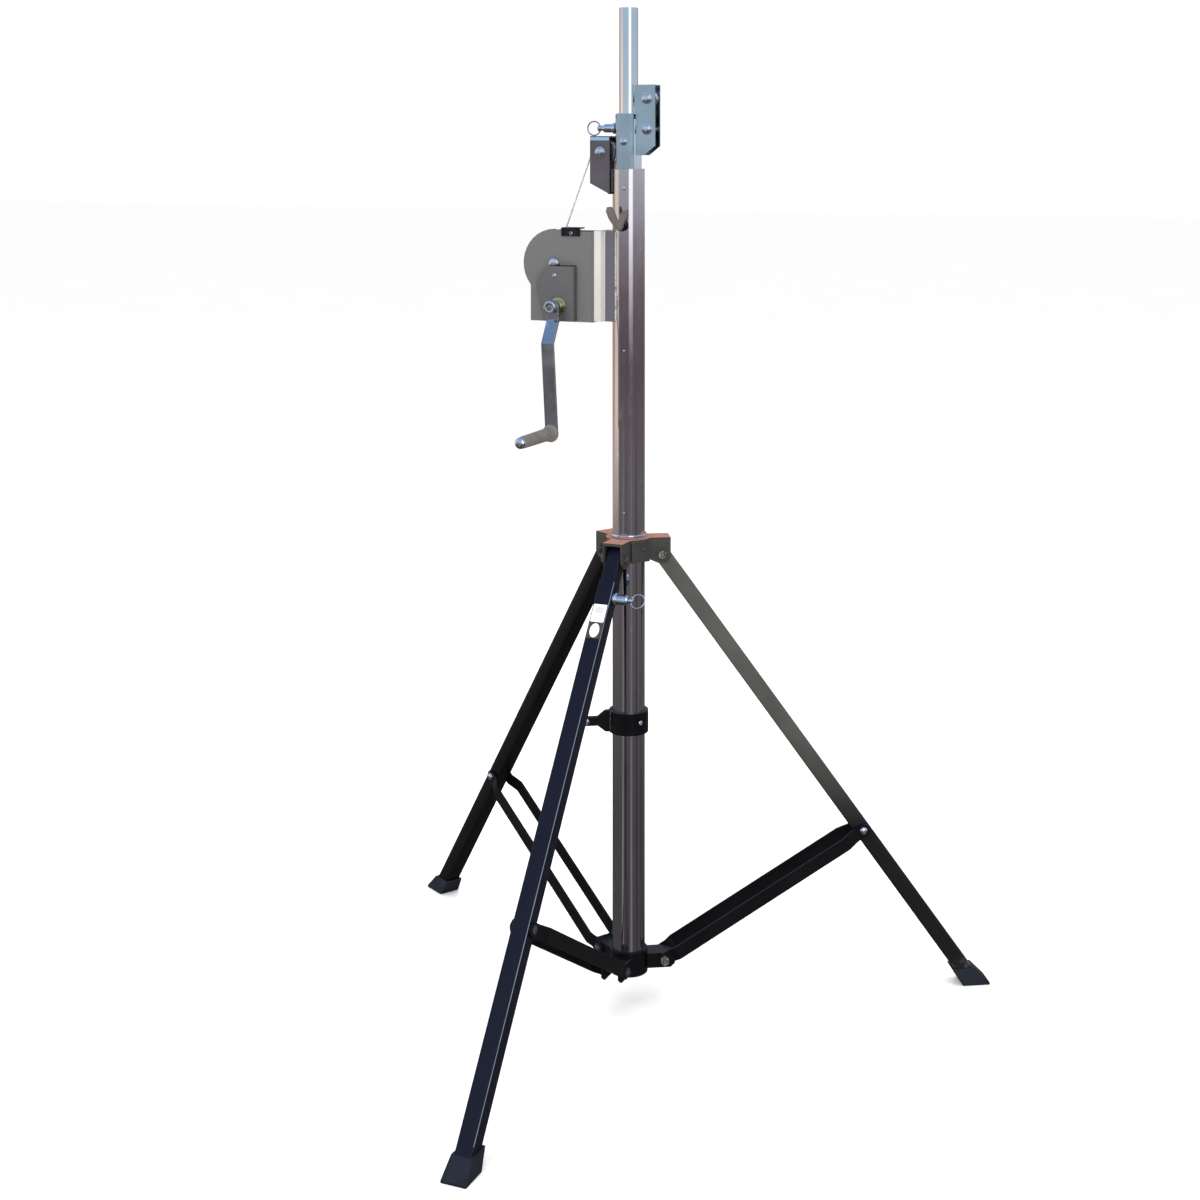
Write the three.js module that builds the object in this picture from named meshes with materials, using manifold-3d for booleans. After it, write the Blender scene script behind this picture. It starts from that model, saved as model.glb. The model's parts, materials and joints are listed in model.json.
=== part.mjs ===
// Crank lighting stand: a three-stage tubular mast raised by a hand winch, on a folding tripod.
// Millimetres, +Z up. The mast axis is drawn on X = Y = 0 and the whole stand is moved by
// STAND_SHIFT_Y at the end, so that the origin is under the middle of the footprint.
// The crank and one leg face -Y, the winch stands on the -X side of the mast.
import * as THREE from "three";
import { mergeVertices } from "three/addons/utils/BufferGeometryUtils.js";
import Module from "manifold-3d";

const wasm = await Module();
wasm.setup();

// ---- driving dimensions -------------------------------------------------------------------------
const GAP = 0.3; // space between pieces that touch

const OUTER_R = 30, OUTER_BORE = 28.5, OUTER_Z0 = 72, OUTER_TOP = 1538; // outer mast tube
const MIDDLE_R = 24.5, MIDDLE_BORE = 22.75, MIDDLE_Z0 = 132, MIDDLE_TOP = 1630;
const INNER_R = 17.5, INNER_BORE = 15.75, INNER_Z0 = 140, INNER_TOP = 1836;

const LEG_DIRECTIONS = { front: -90, right: 30, rear: 150 }; // degrees about the mast
const LEG_PIVOT_R = 60, LEG_PIVOT_Z = 827; // hinge of each leg in the sliding collar
const FOOT_R = 656; // where the line of each leg meets the floor
const LEG_SIDE = 30, LEG_WALL = 2; // square leg tube
const LEG_ANGLE = Math.atan2(FOOT_R - LEG_PIVOT_R, LEG_PIVOT_Z); // from vertical
const LEG_LENGTH = Math.hypot(FOOT_R - LEG_PIVOT_R, LEG_PIVOT_Z);
const LEVELLER_SIDE = 25, LEVELLER_TOP = 47, LEVELLER_LENGTH = 330; // telescoping front leg
const LEG_PIN_AT = 76; // leg pull pin, measured down the leg from its hinge

const HUB_PIVOT_R = 64, HUB_PIVOT_Z = 79, HUB_R = 35, HUB_Z0 = 55, HUB_Z1 = 98;
const LUG_HALF = 19, LUG_END = 84;
const BRACE_AT = 0.638 * LEG_LENGTH; // brace joint, measured down the leg from its hinge
const BAR_HEIGHT = 24, BAR_THICK = 4, BAR_SPREAD = 28; // pair of flat bars
const BOLT_R = 5, HOLE_R = 5.4, BOLT_HEAD_R = 8.5;

const COLLAR_R = 34, COLLAR_Z0 = 817, COLLAR_Z1 = 853, COLLAR_PLATE = 5, EAR_IN = 15.6, EAR_OUT = 19.6;
const CLAMP_R = 36.5, CLAMP_Z0 = 498, CLAMP_Z1 = 538, CLAMP_DIRECTION = 210;

const DRUM_X = -135, DRUM_Z = 1362, DRUM_CORE_R = 17.4, DRUM_FLANGE_R = 44;
const GEAR_MODULE = 2.2, GEAR_TEETH = 52, PINION_TEETH = 20;
const SHAFT_X = -121.5;
const SHAFT_Z = DRUM_Z - Math.sqrt((GEAR_MODULE * (GEAR_TEETH + PINION_TEETH) / 2) ** 2 - (SHAFT_X - DRUM_X) ** 2);
const FRAME_HALF = 36, FRAME_PLATE = 3, FRAME_BASE_X = -56, FRAME_Z0 = 1254, FRAME_Z1 = 1421;
const FRAME_ARC_R = 64, FRAME_LEFT_X = -184;
const CRANK_TILT = 3; // degrees away from straight down at rest
const CRANK_LENGTH = 228, CRANK_WIDTH = 24, CRANK_THICK = 6, CRANK_INNER_Y = -76, CRANK_OUTER_Y = -104;
const GRIP_END_Y = -230;

const ROPE_R = 1.7, ROPE_X = -26.5; // wire rope, and where it runs down inside the mast
const LOWER_SHEAVE_Z = 1569, UPPER_SHEAVE_Z = 1667, UPPER_SHEAVE_X = 42;
const SHEAVE_PITCH_R = 23, UPPER_SHEAVE_PITCH_R = 13.5;
const HOUSING_IN = 16.5, HOUSING_OUT = 19.5;
const UPPER_HOUSING_IN = 11, UPPER_HOUSING_OUT = 14, UPPER_HOUSING_X = 57.7;
const MAST_PIN_Z = 1613;
const WING_Z = 1434;

// ---- materials ----------------------------------------------------------------------------------
const paint = (color, metalness,
  roughness) => new THREE.MeshStandardMaterial({ color, metalness, roughness });
const CHROME = paint(0xb9bcc2, 1, 0.12);
const BLACK_PAINT = paint(0x16161a, 0.1, 0.35);
const ZINC = paint(0xb4bfc8, 0.9, 0.3);
const WINCH_STEEL = paint(0x77777a, 0.5, 0.45);
const YELLOW_ZINC = paint(0xc9b46a, 0.9, 0.35);
const STEEL = paint(0x8b8f94, 0.9, 0.4);
const RUBBER = paint(0x1a1c22, 0, 0.8);
const NYLON = paint(0x26262a, 0, 0.6);
const GRIP_PLASTIC = paint(0x3c3a36, 0, 0.55);
const ROPE = paint(0xb8b2ab, 0.7, 0.5);

// ---- shape helpers ------------------------------------------------------------------------------
const rad = THREE.MathUtils.degToRad;

function toSolid(geometry) {
  geometry.deleteAttribute("normal");
  geometry.deleteAttribute("uv");
  const merged = mergeVertices(geometry, 1e-4);
  return new wasm.Manifold(new wasm.Mesh({
    numProp: 3,
    vertProperties: new Float32Array(merged.attributes.position.array),
    triVerts: new Uint32Array(merged.index.array),
  }));
}

function toGeometry(solid) {
  const mesh = solid.getMesh();
  const geometry = new THREE.BufferGeometry();
  geometry.setAttribute("position", new THREE.BufferAttribute(mesh.vertProperties, 3));
  geometry.setIndex(new THREE.BufferAttribute(mesh.triVerts, 1));
  return geometry;
}

// A block between two corners.
function block(x0, x1, y0, y1, z0, z1) {
  const g = new THREE.BoxGeometry(x1 - x0, y1 - y0, z1 - z0);
  return toSolid(g.translate((x0 + x1) / 2, (y0 + y1) / 2, (z0 + z1) / 2));
}

// A body turned about Z from [radius, height] pairs; the profile starts and ends on the axis.
function turned(profile, segments = 24) {
  return toSolid(new THREE.LatheGeometry(profile.map(([r, z]) => new THREE.Vector2(r, z)), segments)
    .rotateX(Math.PI / 2));
}

const rod = (r, z0, z1, segments = 16) => turned([[0, z0], [r, z0], [r, z1], [0, z1]], segments);

const pipe = (r, bore, z0, z1, segments = 32) => rod(r, z0, z1, segments)
  .subtract(rod(bore, z0 - 1, z1 + 1, segments));

// A plate cut to an outline in X-Y, between two heights.
function plate(outline, z0, z1) {
  const shape = new THREE.Shape(outline.map(([x, y]) => new THREE.Vector2(x, y)));
  const g = new THREE.ExtrudeGeometry(shape, { depth: z1 - z0, bevelEnabled: false, steps: 1 });
  return toSolid(g.translate(0, 0, z0));
}

// The same, with the outline given in X-Z and the plate standing between two Y values.
const standing = (outline, y0, y1) => plate(outline, -y1, -y0).rotate(90, 0, 0);

// Rods with their axis along Y or along X.
const rodY = (r, x, z, y0, y1, segments = 16) => rod(r, y0, y1, segments).rotate(-90, 0, 0)
  .translate(x, 0, z);
const rodX = (r, y, z, x0, x1, segments = 16) => rod(r, x0, x1, segments).rotate(0, 90, 0)
  .translate(0, y, z);

function arc(cx, cz, r, from, to, steps) {
  return Array.from({ length: steps + 1 }, (_, i) => {
    const a = rad(from + ((to - from) * i) / steps);
    return [cx + r * Math.cos(a), cz + r * Math.sin(a)];
  });
}

// Spur gear outline with straight-flanked teeth.
function gearOutline(teeth, module, turn) {
  const pitchR = (teeth * module) / 2, step = (2 * Math.PI) / teeth, out = [];
  for (let i = 0; i < teeth; i++) {
    for (const [r, f] of [[pitchR - 1.25 * module, -0.27], [pitchR + 0.8 * module, -0.1],
      [pitchR + 0.8 * module, 0.1], [pitchR - 1.25 * module, 0.27]]) {
      const a = turn + (i + f) * step;
      out.push([r * Math.cos(a), r * Math.sin(a)]);
    }
  }
  return out;
}

const stand = new THREE.Group();
stand.name = "crank_lighting_stand";

function add(name, solid, material) {
  const mesh = new THREE.Mesh(toGeometry(solid), material);
  mesh.name = name;
  stand.add(mesh);
}

// ---- mast ---------------------------------------------------------------------------------------
add("mast_outer_tube", pipe(OUTER_R, OUTER_BORE, OUTER_Z0, OUTER_TOP), CHROME);

const pinHole = (r) => rodX(r, 0, MAST_PIN_Z, -40, 0, 12);
add("mast_middle_tube", pipe(MIDDLE_R, MIDDLE_BORE, MIDDLE_Z0, MIDDLE_TOP).subtract(pinHole(4.6)), CHROME);
add("mast_inner_tube", pipe(INNER_R, INNER_BORE, INNER_Z0, INNER_TOP, 28), CHROME);

// Guide bushes, notched where the wire rope passes.
const ropeNotch = (z0, z1) => block(-32, -24, -3, 3, z0 - 1, z1 + 1);
add("mast_top_bush", pipe(OUTER_BORE - GAP, MIDDLE_R + GAP, 1498, OUTER_TOP - 1, 24)
  .subtract(ropeNotch(1498, OUTER_TOP)), NYLON);
add("middle_foot_bush", pipe(OUTER_BORE - GAP, 19, MIDDLE_Z0 - 26, MIDDLE_Z0 - GAP, 24)
  .subtract(ropeNotch(MIDDLE_Z0 - 26, MIDDLE_Z0)), NYLON);
add("middle_top_bush", pipe(MIDDLE_R, INNER_R + GAP, MIDDLE_TOP + GAP, MIDDLE_TOP + 9, 28), NYLON);

// ---- tripod -------------------------------------------------------------------------------------
// Each arm of the tripod is drawn in its own vertical plane: X outward, Y across, Z up.
const arms = (solid) => Object.values(LEG_DIRECTIONS).map((a) => solid.rotate(0, 0, a));
const fuse = (solids) => wasm.Manifold.union(solids);

// Hub: a ring on the foot of the mast with three open-bottomed lugs.
const lugSide = [[OUTER_R + 2, HUB_Z0 + 9], [LUG_END - 8, HUB_Z0 + 9], [LUG_END, HUB_Z0 + 16],
  [LUG_END, HUB_Z1 - 7],
  [OUTER_R + 2, HUB_Z1 - 7]];
const lug = standing(lugSide, -LUG_HALF, LUG_HALF)
  .subtract(block(HUB_R + 3, LUG_END + 1, -LUG_HALF + 5, LUG_HALF - 5, HUB_Z0, HUB_Z1 - 12));
const hubHoles = rodY(HOLE_R, HUB_PIVOT_R, HUB_PIVOT_Z, -30, 30, 12);
add("tripod_hub", fuse([rod(HUB_R, HUB_Z0, HUB_Z1, 32), ...arms(lug.subtract(hubHoles))])
  .subtract(rod(OUTER_R + GAP, OUTER_Z0 - GAP, HUB_Z1 + 1, 32)), BLACK_PAINT);

// Collar: a sleeve that slides on the mast, a top plate and three pairs of ears.
const ear = standing([[36, COLLAR_Z1 + 1], [36, 818], [52, 811], [68, 811], [76, 822], [76, COLLAR_Z1 + 1]],
  EAR_IN, EAR_OUT);
const yoke = [ear, ear.mirror([0, 1, 0]),
  block(20, 76, -EAR_OUT, EAR_OUT, COLLAR_Z1, COLLAR_Z1 + COLLAR_PLATE)];
const legHoles = rodY(HOLE_R, LEG_PIVOT_R, LEG_PIVOT_Z, -30, 30, 12);
add("leg_collar", fuse([rod(COLLAR_R, COLLAR_Z0, COLLAR_Z1 + 1, 32),
  rod(42, COLLAR_Z1, COLLAR_Z1 + COLLAR_PLATE, 32),
  ...arms(fuse(yoke).subtract(legHoles))])
  .subtract(rod(OUTER_R + GAP, COLLAR_Z0 - 1, COLLAR_Z1 + 9, 32)), BLACK_PAINT);
add("collar_ring", pipe(33.5, OUTER_R + 2 * GAP, COLLAR_Z1 + COLLAR_PLATE + GAP,
  COLLAR_Z1 + COLLAR_PLATE + 6.5, 24), CHROME);

// A through bolt across an arm, with a domed head at +Y and a nut at -Y.
function pivotBolt(x, z, half) {
  const head = turned([[0, 0], [BOLT_HEAD_R, 0], [BOLT_HEAD_R - 1.5, 4], [0, 5.5]], 16);
  return fuse([rodY(BOLT_R, x, z, -half - 3, half + 1, 12),
    head.rotate(-90, 0, 0).translate(x, half + GAP, z),
    rodY(BOLT_HEAD_R, x, z, -half - 7 - GAP, -half - GAP, 6)]);
}

// One bar of a brace pair: set out to BAR_SPREAD between its ends, with the joint stud at the leg
// end swaged into it. side is +1 or -1.
const hubJoint = new THREE.Vector3(HUB_PIVOT_R, 0, HUB_PIVOT_Z);
const legJoint = new THREE.Vector3(LEG_PIVOT_R + BRACE_AT * Math.sin(LEG_ANGLE), 0,
  LEG_PIVOT_Z - BRACE_AT * Math.cos(LEG_ANGLE));
const BAR_LENGTH = hubJoint.distanceTo(legJoint);
const BAR_RISE = THREE.MathUtils.radToDeg(Math.atan2(legJoint.z - hubJoint.z, legJoint.x - hubJoint.x));
function braceBar(side) {
  const hubY = LUG_HALF + 2 * GAP, legY = LEG_SIDE / 2 + 2 * GAP, midY = BAR_SPREAD - BAR_THICK / 2;
  const inner = [[-12, hubY], [15, hubY], [27, midY], [BAR_LENGTH - 40, midY], [BAR_LENGTH - 18, legY],
    [BAR_LENGTH + 12, legY]];
  const outline = [...inner, ...inner.map(([x, y]) => [x, y + BAR_THICK]).reverse()];
  const rounded = [...arc(0, 0, BAR_HEIGHT / 2, 90, 270, 8),
    ...arc(BAR_LENGTH, 0, BAR_HEIGHT / 2, -90, 90, 8)];
  const stud = turned([[0, legY], [4, legY], [4, legY + BAR_THICK], [7, legY + BAR_THICK], [5.5, legY + 7],
    [0, legY + 8]], 12);
  const bar = plate(outline, -BAR_HEIGHT / 2, BAR_HEIGHT / 2)
    .intersect(standing(rounded, 0, 60))
    .subtract(rodY(HOLE_R, 0, 0, 0, 60, 12))
    .add(stud.rotate(-90, 0, 0).translate(BAR_LENGTH, 0, 0));
  const placed = side > 0 ? bar : bar.mirror([0, 1, 0]);
  return placed.rotate(0, -BAR_RISE, 0).translate(hubJoint.x, 0, hubJoint.z);
}

// Leg pieces are drawn hanging straight down from the hinge, then swung out to the leg's angle.
const swing = (solid) => solid.rotate(0, -THREE.MathUtils.radToDeg(LEG_ANGLE), 0)
  .translate(LEG_PIVOT_R, 0, LEG_PIVOT_Z);
const squareTube = (side, wall, z0, z1) => block(-side / 2, side / 2, -side / 2, side / 2, z0, z1)
  .subtract(block(-side / 2 + wall, side / 2 - wall, -side / 2 + wall, side / 2 - wall, z0 - 1, z1 + 1));
const legEnd = -LEG_LENGTH + 18; // the tube ends inside its rubber boot
const hingeHole = rodY(HOLE_R, 0, 0, -30, 30, 12);

// Rubber boot: a low flared block, level above and below, with a socket for the leg.
const BOOT_TOP = 31, bootR = FOOT_R - BOOT_TOP * Math.tan(LEG_ANGLE);
const boot = wasm.Manifold.hull([block(bootR - 22, bootR + 22, -18.5, 18.5, BOOT_TOP - 1, BOOT_TOP),
  block(FOOT_R - 25, FOOT_R + 27, -22, 22, 0, 4)])
  .subtract(swing(block(-LEG_SIDE / 2 - GAP, LEG_SIDE / 2 + GAP, -LEG_SIDE / 2 - GAP, LEG_SIDE / 2 + GAP,
    legEnd - GAP, 0)));

const pinCross = rodY(4.6, 0, -LEG_PIN_AT, 0, 30, 12);
for (const [arm, angle] of Object.entries(LEG_DIRECTIONS)) {
  const place = (solid) => solid.rotate(0, 0, angle);
  if (arm === "front") {
    add("leg_front_upper",
      place(swing(squareTube(LEVELLER_SIDE, LEG_WALL, -LEVELLER_LENGTH, 15).subtract(hingeHole))),
        BLACK_PAINT);
    add("leg_front_lower",
      place(swing(squareTube(LEG_SIDE, LEG_WALL, legEnd, -LEVELLER_TOP).subtract(pinCross))), BLACK_PAINT);
  } else {
    add(`leg_${arm}`, place(swing(squareTube(LEG_SIDE, LEG_WALL, legEnd, 15).subtract(hingeHole))),
      BLACK_PAINT);
  }
  add(`foot_${arm}`, place(boot), RUBBER);
  add(`leg_bolt_${arm}`, place(pivotBolt(LEG_PIVOT_R, LEG_PIVOT_Z, EAR_OUT)), ZINC);
  add(`hub_bolt_${arm}`, place(pivotBolt(HUB_PIVOT_R, HUB_PIVOT_Z, LUG_HALF + BAR_THICK + 3 * GAP)), ZINC);
  add(`brace_${arm}_a`, place(braceBar(1)), BLACK_PAINT);
  add(`brace_${arm}_b`, place(braceBar(-1)), BLACK_PAINT);
}

// A spring pull pin along +X: a barrel standing on a surface, and a plunger with a wire ring.
function pinBarrel(x0, length, r) {
  return turned([[0, 0], [r + 2.5, 0], [r + 2.5, 5], [r, 7], [r, length - 4], [r - 1.5, length],
    [0, length]], 16)
    .subtract(rod(4.5, -1, length + 1, 12)).rotate(0, 90, 0).translate(x0, 0, 0);
}
function pinPlunger(x0, x1, ringR) {
  const wire = 1.4;
  const ring = toSolid(new THREE.TorusGeometry(ringR, wire, 5, 16).rotateX(Math.PI / 2))
    .translate(x1 + ringR - 1, 0, 0);
  return fuse([rodX(4, 0, 0, x0, x1 - 3, 12), rodX(5.6, 0, 0, x1 - 3, x1 + 3, 12), ring]);
}
const onFrontLeg = (solid) => swing(solid.rotate(0, 0, 90).translate(0, 0, -LEG_PIN_AT))
  .rotate(0, 0, LEG_DIRECTIONS.front);
add("leg_pin_barrel", onFrontLeg(pinBarrel(LEG_SIDE / 2 + GAP, 29, 9.3)), ZINC);
add("leg_pull_pin", onFrontLeg(pinPlunger(LEVELLER_SIDE / 2 + GAP, 50, 13)), ZINC);

const onMiddleTube = (solid) => solid.rotate(0, 0, 180).translate(0, 0, MAST_PIN_Z);
add("mast_pin_barrel", onMiddleTube(pinBarrel(MIDDLE_R + GAP, 26, 8)), ZINC);
add("mast_pull_pin", onMiddleTube(pinPlunger(INNER_R + GAP, 58, 13)), ZINC);

// Clamp ring between the collar and the hub, split at its two tails.
const tails = standing([[30, CLAMP_Z0], [44, CLAMP_Z0 + 1], [58, CLAMP_Z0 + 12], [88, CLAMP_Z0 + 12],
  [96, CLAMP_Z0 + 20],
  [88, CLAMP_Z0 + 28], [58, CLAMP_Z0 + 28], [44, CLAMP_Z1 - 1], [30, CLAMP_Z1]], -5, 5);
add("stop_clamp", fuse([rod(CLAMP_R, CLAMP_Z0, CLAMP_Z1, 32), tails])
  .subtract(rod(OUTER_R + GAP, CLAMP_Z0 - 1, CLAMP_Z1 + 1, 32))
  .subtract(block(25, 120, -1, 1, CLAMP_Z0 - 1, CLAMP_Z1 + 1))
  .subtract(rodY(4.3, 80, CLAMP_Z0 + 20, -20, 20, 12))
  .rotate(0, 0, CLAMP_DIRECTION), BLACK_PAINT);
add("stop_clamp_bolt",
  fuse([rodY(4, 80, CLAMP_Z0 + 20, -9, 6, 12), rodY(7, 80, CLAMP_Z0 + 20, 5 + GAP, 10, 6),
  rodY(7, 80, CLAMP_Z0 + 20, -10, -5 - GAP, 6)]).rotate(0, 0, CLAMP_DIRECTION), ZINC);

// ---- rope sheaves -------------------------------------------------------------------------------
// A grooved wheel on the Y axis at the origin, and the bolt that carries it between two plates.
const sheave = (pitchR) => turned([[0, -7], [pitchR + 2, -7], [pitchR + 2, -5], [pitchR - 2.2, -2.4],
  [pitchR - 2.2, 2.4], [pitchR + 2, 5], [pitchR + 2, 7], [0, 7]], 20)
  .subtract(rod(6.4, -10, 10, 12)).rotate(-90, 0, 0);
const sheaveBolt = (half) => fuse([rodY(6, 0, 0, -half - 1, half + 6, 12),
  turned([[0, 0], [10, 0], [8, 4], [0, 6.5]], 16).rotate(90, 0, 0).translate(0, -half - GAP, 0),
  rodY(10, 0, 0, half + GAP, half + 7, 6)]);

// Black housing at the top of the outer tube.
const LOWER_SHEAVE_X = ROPE_X - SHEAVE_PITCH_R;
const lowerSide = standing([[-70, 1511], [-30.4, 1491], [-30.4, 1598], [-70, 1598]], HOUSING_IN,
  HOUSING_OUT);
add("lower_sheave_housing", fuse([lowerSide, lowerSide.mirror([0, 1, 0]),
  block(-70, -30.4, -HOUSING_OUT, HOUSING_OUT, 1595.5, 1598.5),
  block(-34, -30.4, -HOUSING_OUT, HOUSING_OUT, 1491, 1536)])
  .subtract(rodY(6.3, LOWER_SHEAVE_X, LOWER_SHEAVE_Z, -40, 40, 12)), BLACK_PAINT);
add("lower_sheave", sheave(SHEAVE_PITCH_R).translate(LOWER_SHEAVE_X, 0, LOWER_SHEAVE_Z), STEEL);
add("lower_sheave_bolt", sheaveBolt(HOUSING_OUT).translate(LOWER_SHEAVE_X, 0, LOWER_SHEAVE_Z), ZINC);

// Zinc housing on the middle tube.
const upperSide = standing([[17.5, 1563], [36, 1563], [UPPER_HOUSING_X, 1580], [UPPER_HOUSING_X, 1693],
  [17.5, 1693]],
  UPPER_HOUSING_IN, UPPER_HOUSING_OUT);
add("upper_sheave_housing", fuse([upperSide, upperSide.mirror([0, 1, 0]),
  block(24.8, 27.5, -UPPER_HOUSING_OUT, UPPER_HOUSING_OUT, 1565, 1634)])
  .subtract(rod(MIDDLE_R + GAP, 1500, 1641, 32))
  .subtract(rodY(6.3, UPPER_SHEAVE_X, UPPER_SHEAVE_Z, -40, 40, 12))
  .subtract(rodY(6.3, UPPER_SHEAVE_X, 1611, -40, 40, 12)), ZINC);
add("upper_sheave", sheave(UPPER_SHEAVE_PITCH_R).translate(UPPER_SHEAVE_X, 0, UPPER_SHEAVE_Z), STEEL);
add("upper_sheave_bolt", sheaveBolt(UPPER_HOUSING_OUT).translate(UPPER_SHEAVE_X, 0, UPPER_SHEAVE_Z), ZINC);
add("upper_spacer_bolt", sheaveBolt(UPPER_HOUSING_OUT).translate(UPPER_SHEAVE_X, 0, 1611), ZINC);

// Channel on the front of the middle tube; its foot rests on the outer tube when the mast is down.
add("lock_channel", block(-11, 18, -32, -12, OUTER_TOP + 2 * GAP, 1640)
  .subtract(block(-8, 15, -29, -10, 1500, 1650))
  .subtract(rod(MIDDLE_R + GAP, 1500, 1700, 32)), ZINC);

// ---- winch --------------------------------------------------------------------------------------
// Bracket welded to the mast: a channel whose flanges are joggled towards the tube.
const halfBracket = [[FRAME_BASE_X + GAP, 0], [FRAME_BASE_X + GAP, -34], [-42, -34], [-38, -26], [-15, -26],
  [-15, -23],
  [-40, -23], [-44, -31], [-52, -31], [-52, 0]];
const bracketHalf = plate(halfBracket, 1256, 1423);
add("winch_bracket", fuse([bracketHalf, bracketHalf.mirror([0, 1, 0])])
  .subtract(rod(OUTER_R + GAP, 1200, 1500, 32)), WINCH_STEEL);

// Frame: two side plates rounded over the drum, folded from one sheet with the base.
const arcEnd = THREE.MathUtils.radToDeg(Math.asin((FRAME_LEFT_X - DRUM_X) / -FRAME_ARC_R));
const sideOutline = [[FRAME_BASE_X, FRAME_Z0], [FRAME_BASE_X, FRAME_Z1],
  [DRUM_X + Math.sqrt(FRAME_ARC_R ** 2 - (FRAME_Z1 - DRUM_Z) ** 2), FRAME_Z1],
  ...arc(DRUM_X, DRUM_Z, FRAME_ARC_R, 90, 270 - arcEnd, 12), [FRAME_LEFT_X, FRAME_Z0]];
const winchHoles = fuse([rodY(7.4, DRUM_X, DRUM_Z, -60, 60, 16), rodY(6.5, SHAFT_X, SHAFT_Z, -60, 60, 16)]);
const sidePlate = standing(sideOutline, -FRAME_HALF, -FRAME_HALF + FRAME_PLATE);
add("winch_frame", fuse([sidePlate, sidePlate.mirror([0, 1, 0]),
  block(FRAME_BASE_X - FRAME_PLATE, FRAME_BASE_X, -FRAME_HALF, FRAME_HALF, FRAME_Z0, FRAME_Z1)])
    .subtract(winchHoles), WINCH_STEEL);
add("rope_guard", fuse([block(-120, -82, -FRAME_HALF - 3, -16, FRAME_Z1 + 5.5, FRAME_Z1 + 8),
  block(-120, -82, -FRAME_HALF - 3, -FRAME_HALF - GAP, FRAME_Z1 - 8, FRAME_Z1 + 8)]), BLACK_PAINT);

// Gear cover: a shallow lid over the ratchet, on the crank side.
const coverOutline = [[-91, FRAME_Z0 + 1], [-91, 1357], [-139, 1357], [-152, 1349], [-165, 1334],
  [-168, 1319], [-152, FRAME_Z0 + 1]];
const coverInside = [[-93.5, FRAME_Z0 - 5], [-93.5, 1360], [-139, 1360], [-150, 1346], [-161.5, 1332],
  [-165, 1319], [-149, FRAME_Z0 - 5]];
add("winch_gear_cover", standing(coverOutline, -48, -FRAME_HALF - GAP)
  .subtract(standing(coverInside, -46, -30))
  .subtract(rodY(6.5, SHAFT_X, SHAFT_Z, -60, 0, 16)), WINCH_STEEL);

// Drum with its gear, on a plain axle.
add("drum_axle", fuse([rodY(7, DRUM_X, DRUM_Z, -FRAME_HALF - 2, FRAME_HALF + 10, 16),
  turned([[0, 0], [11, 0], [9, 5], [0, 7]], 16).rotate(90, 0, 0)
    .translate(DRUM_X, -FRAME_HALF - GAP, DRUM_Z),
  rodY(11, DRUM_X, DRUM_Z, FRAME_HALF + GAP, FRAME_HALF + 9, 6)]), ZINC);
add("winch_drum", turned([[0, -16], [DRUM_FLANGE_R, -16], [DRUM_FLANGE_R, -14], [DRUM_CORE_R, -14],
  [DRUM_CORE_R, 28],
  [DRUM_FLANGE_R, 28], [DRUM_FLANGE_R, 30], [0, 30]], 24).subtract(rod(7.4, -40, 40, 16)).rotate(-90, 0, 0)
  .translate(DRUM_X, 0, DRUM_Z), STEEL);
const meshAngle = Math.atan2(SHAFT_Z - DRUM_Z, SHAFT_X - DRUM_X);
const GEAR_Y0 = -29, GEAR_Y1 = -19;
add("drum_gear", standing(gearOutline(GEAR_TEETH, GEAR_MODULE, meshAngle), GEAR_Y0, GEAR_Y1)
  .subtract(rod(7.4, -60, 60, 16).rotate(-90, 0, 0)).translate(DRUM_X, 0, DRUM_Z), STEEL);

// Pinion shaft, carried by both side plates; a tooth gap faces the gear's tooth.
const pinion = standing(gearOutline(PINION_TEETH, GEAR_MODULE,
  meshAngle + Math.PI + Math.PI / PINION_TEETH), GEAR_Y0 - 1.5, GEAR_Y1 + 1.5);
add("pinion_shaft", fuse([rodY(6, 0, 0, -84, 41, 16), pinion]).translate(SHAFT_X, 0, SHAFT_Z), STEEL);

// Brake ratchet wheel on the shaft, with the pawl that drops into it.
const ratchet = Array.from({ length: 12 }, (_, i) => [[13, i], [17.5, i + 0.05]].map(([r, k]) => {
  const a = (k * Math.PI) / 6;
  return [r * Math.cos(a), r * Math.sin(a)];
})).flat();
add("brake_ratchet", standing(ratchet, -44, -40).subtract(rodY(6.3, 0, 0, -60, 0, 16))
  .translate(SHAFT_X, 0, SHAFT_Z), STEEL);
add("ratchet_pawl", fuse([rodY(6, -139, 1325, -44, -40, 12),
  standing([[-145, 1325], [-135.5, 1298.5], [-131.5, 1299.5], [-133, 1325]], -44, -40),
  rodY(3, -139, 1325, -40.5, -37, 10)]), STEEL);
add("brake_washer", rodY(15.5, SHAFT_X, SHAFT_Z, -51, -48 - GAP, 24)
  .subtract(rodY(6.3, SHAFT_X, SHAFT_Z, -60, 0, 16)), YELLOW_ZINC);

// Crank arm: a flat bar stepped outward below its hub, with a loose grip on a bolt.
const armSide = [[CRANK_INNER_Y, 14], [CRANK_INNER_Y, -24], [CRANK_OUTER_Y, -64],
  [CRANK_OUTER_Y, -CRANK_LENGTH - 12]];
const armProfile = [...armSide,
  ...armSide.map(([y, z], i) => [y + CRANK_THICK, z - (i === 1 || i === 2 ? 2.4 : 0)]).reverse()];
const roundEnds = [...arc(0, 0, CRANK_WIDTH / 2, 0, 180, 8),
  ...arc(0, -CRANK_LENGTH, CRANK_WIDTH / 2, 180, 360, 8)];
const armBar = plate(armProfile, -CRANK_WIDTH / 2, CRANK_WIDTH / 2).rotate(90, 0, 90)
  .intersect(standing(roundEnds, -200, 0));
const onCrank = (solid) => solid.rotate(0, -CRANK_TILT, 0).translate(SHAFT_X, 0, SHAFT_Z);
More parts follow.
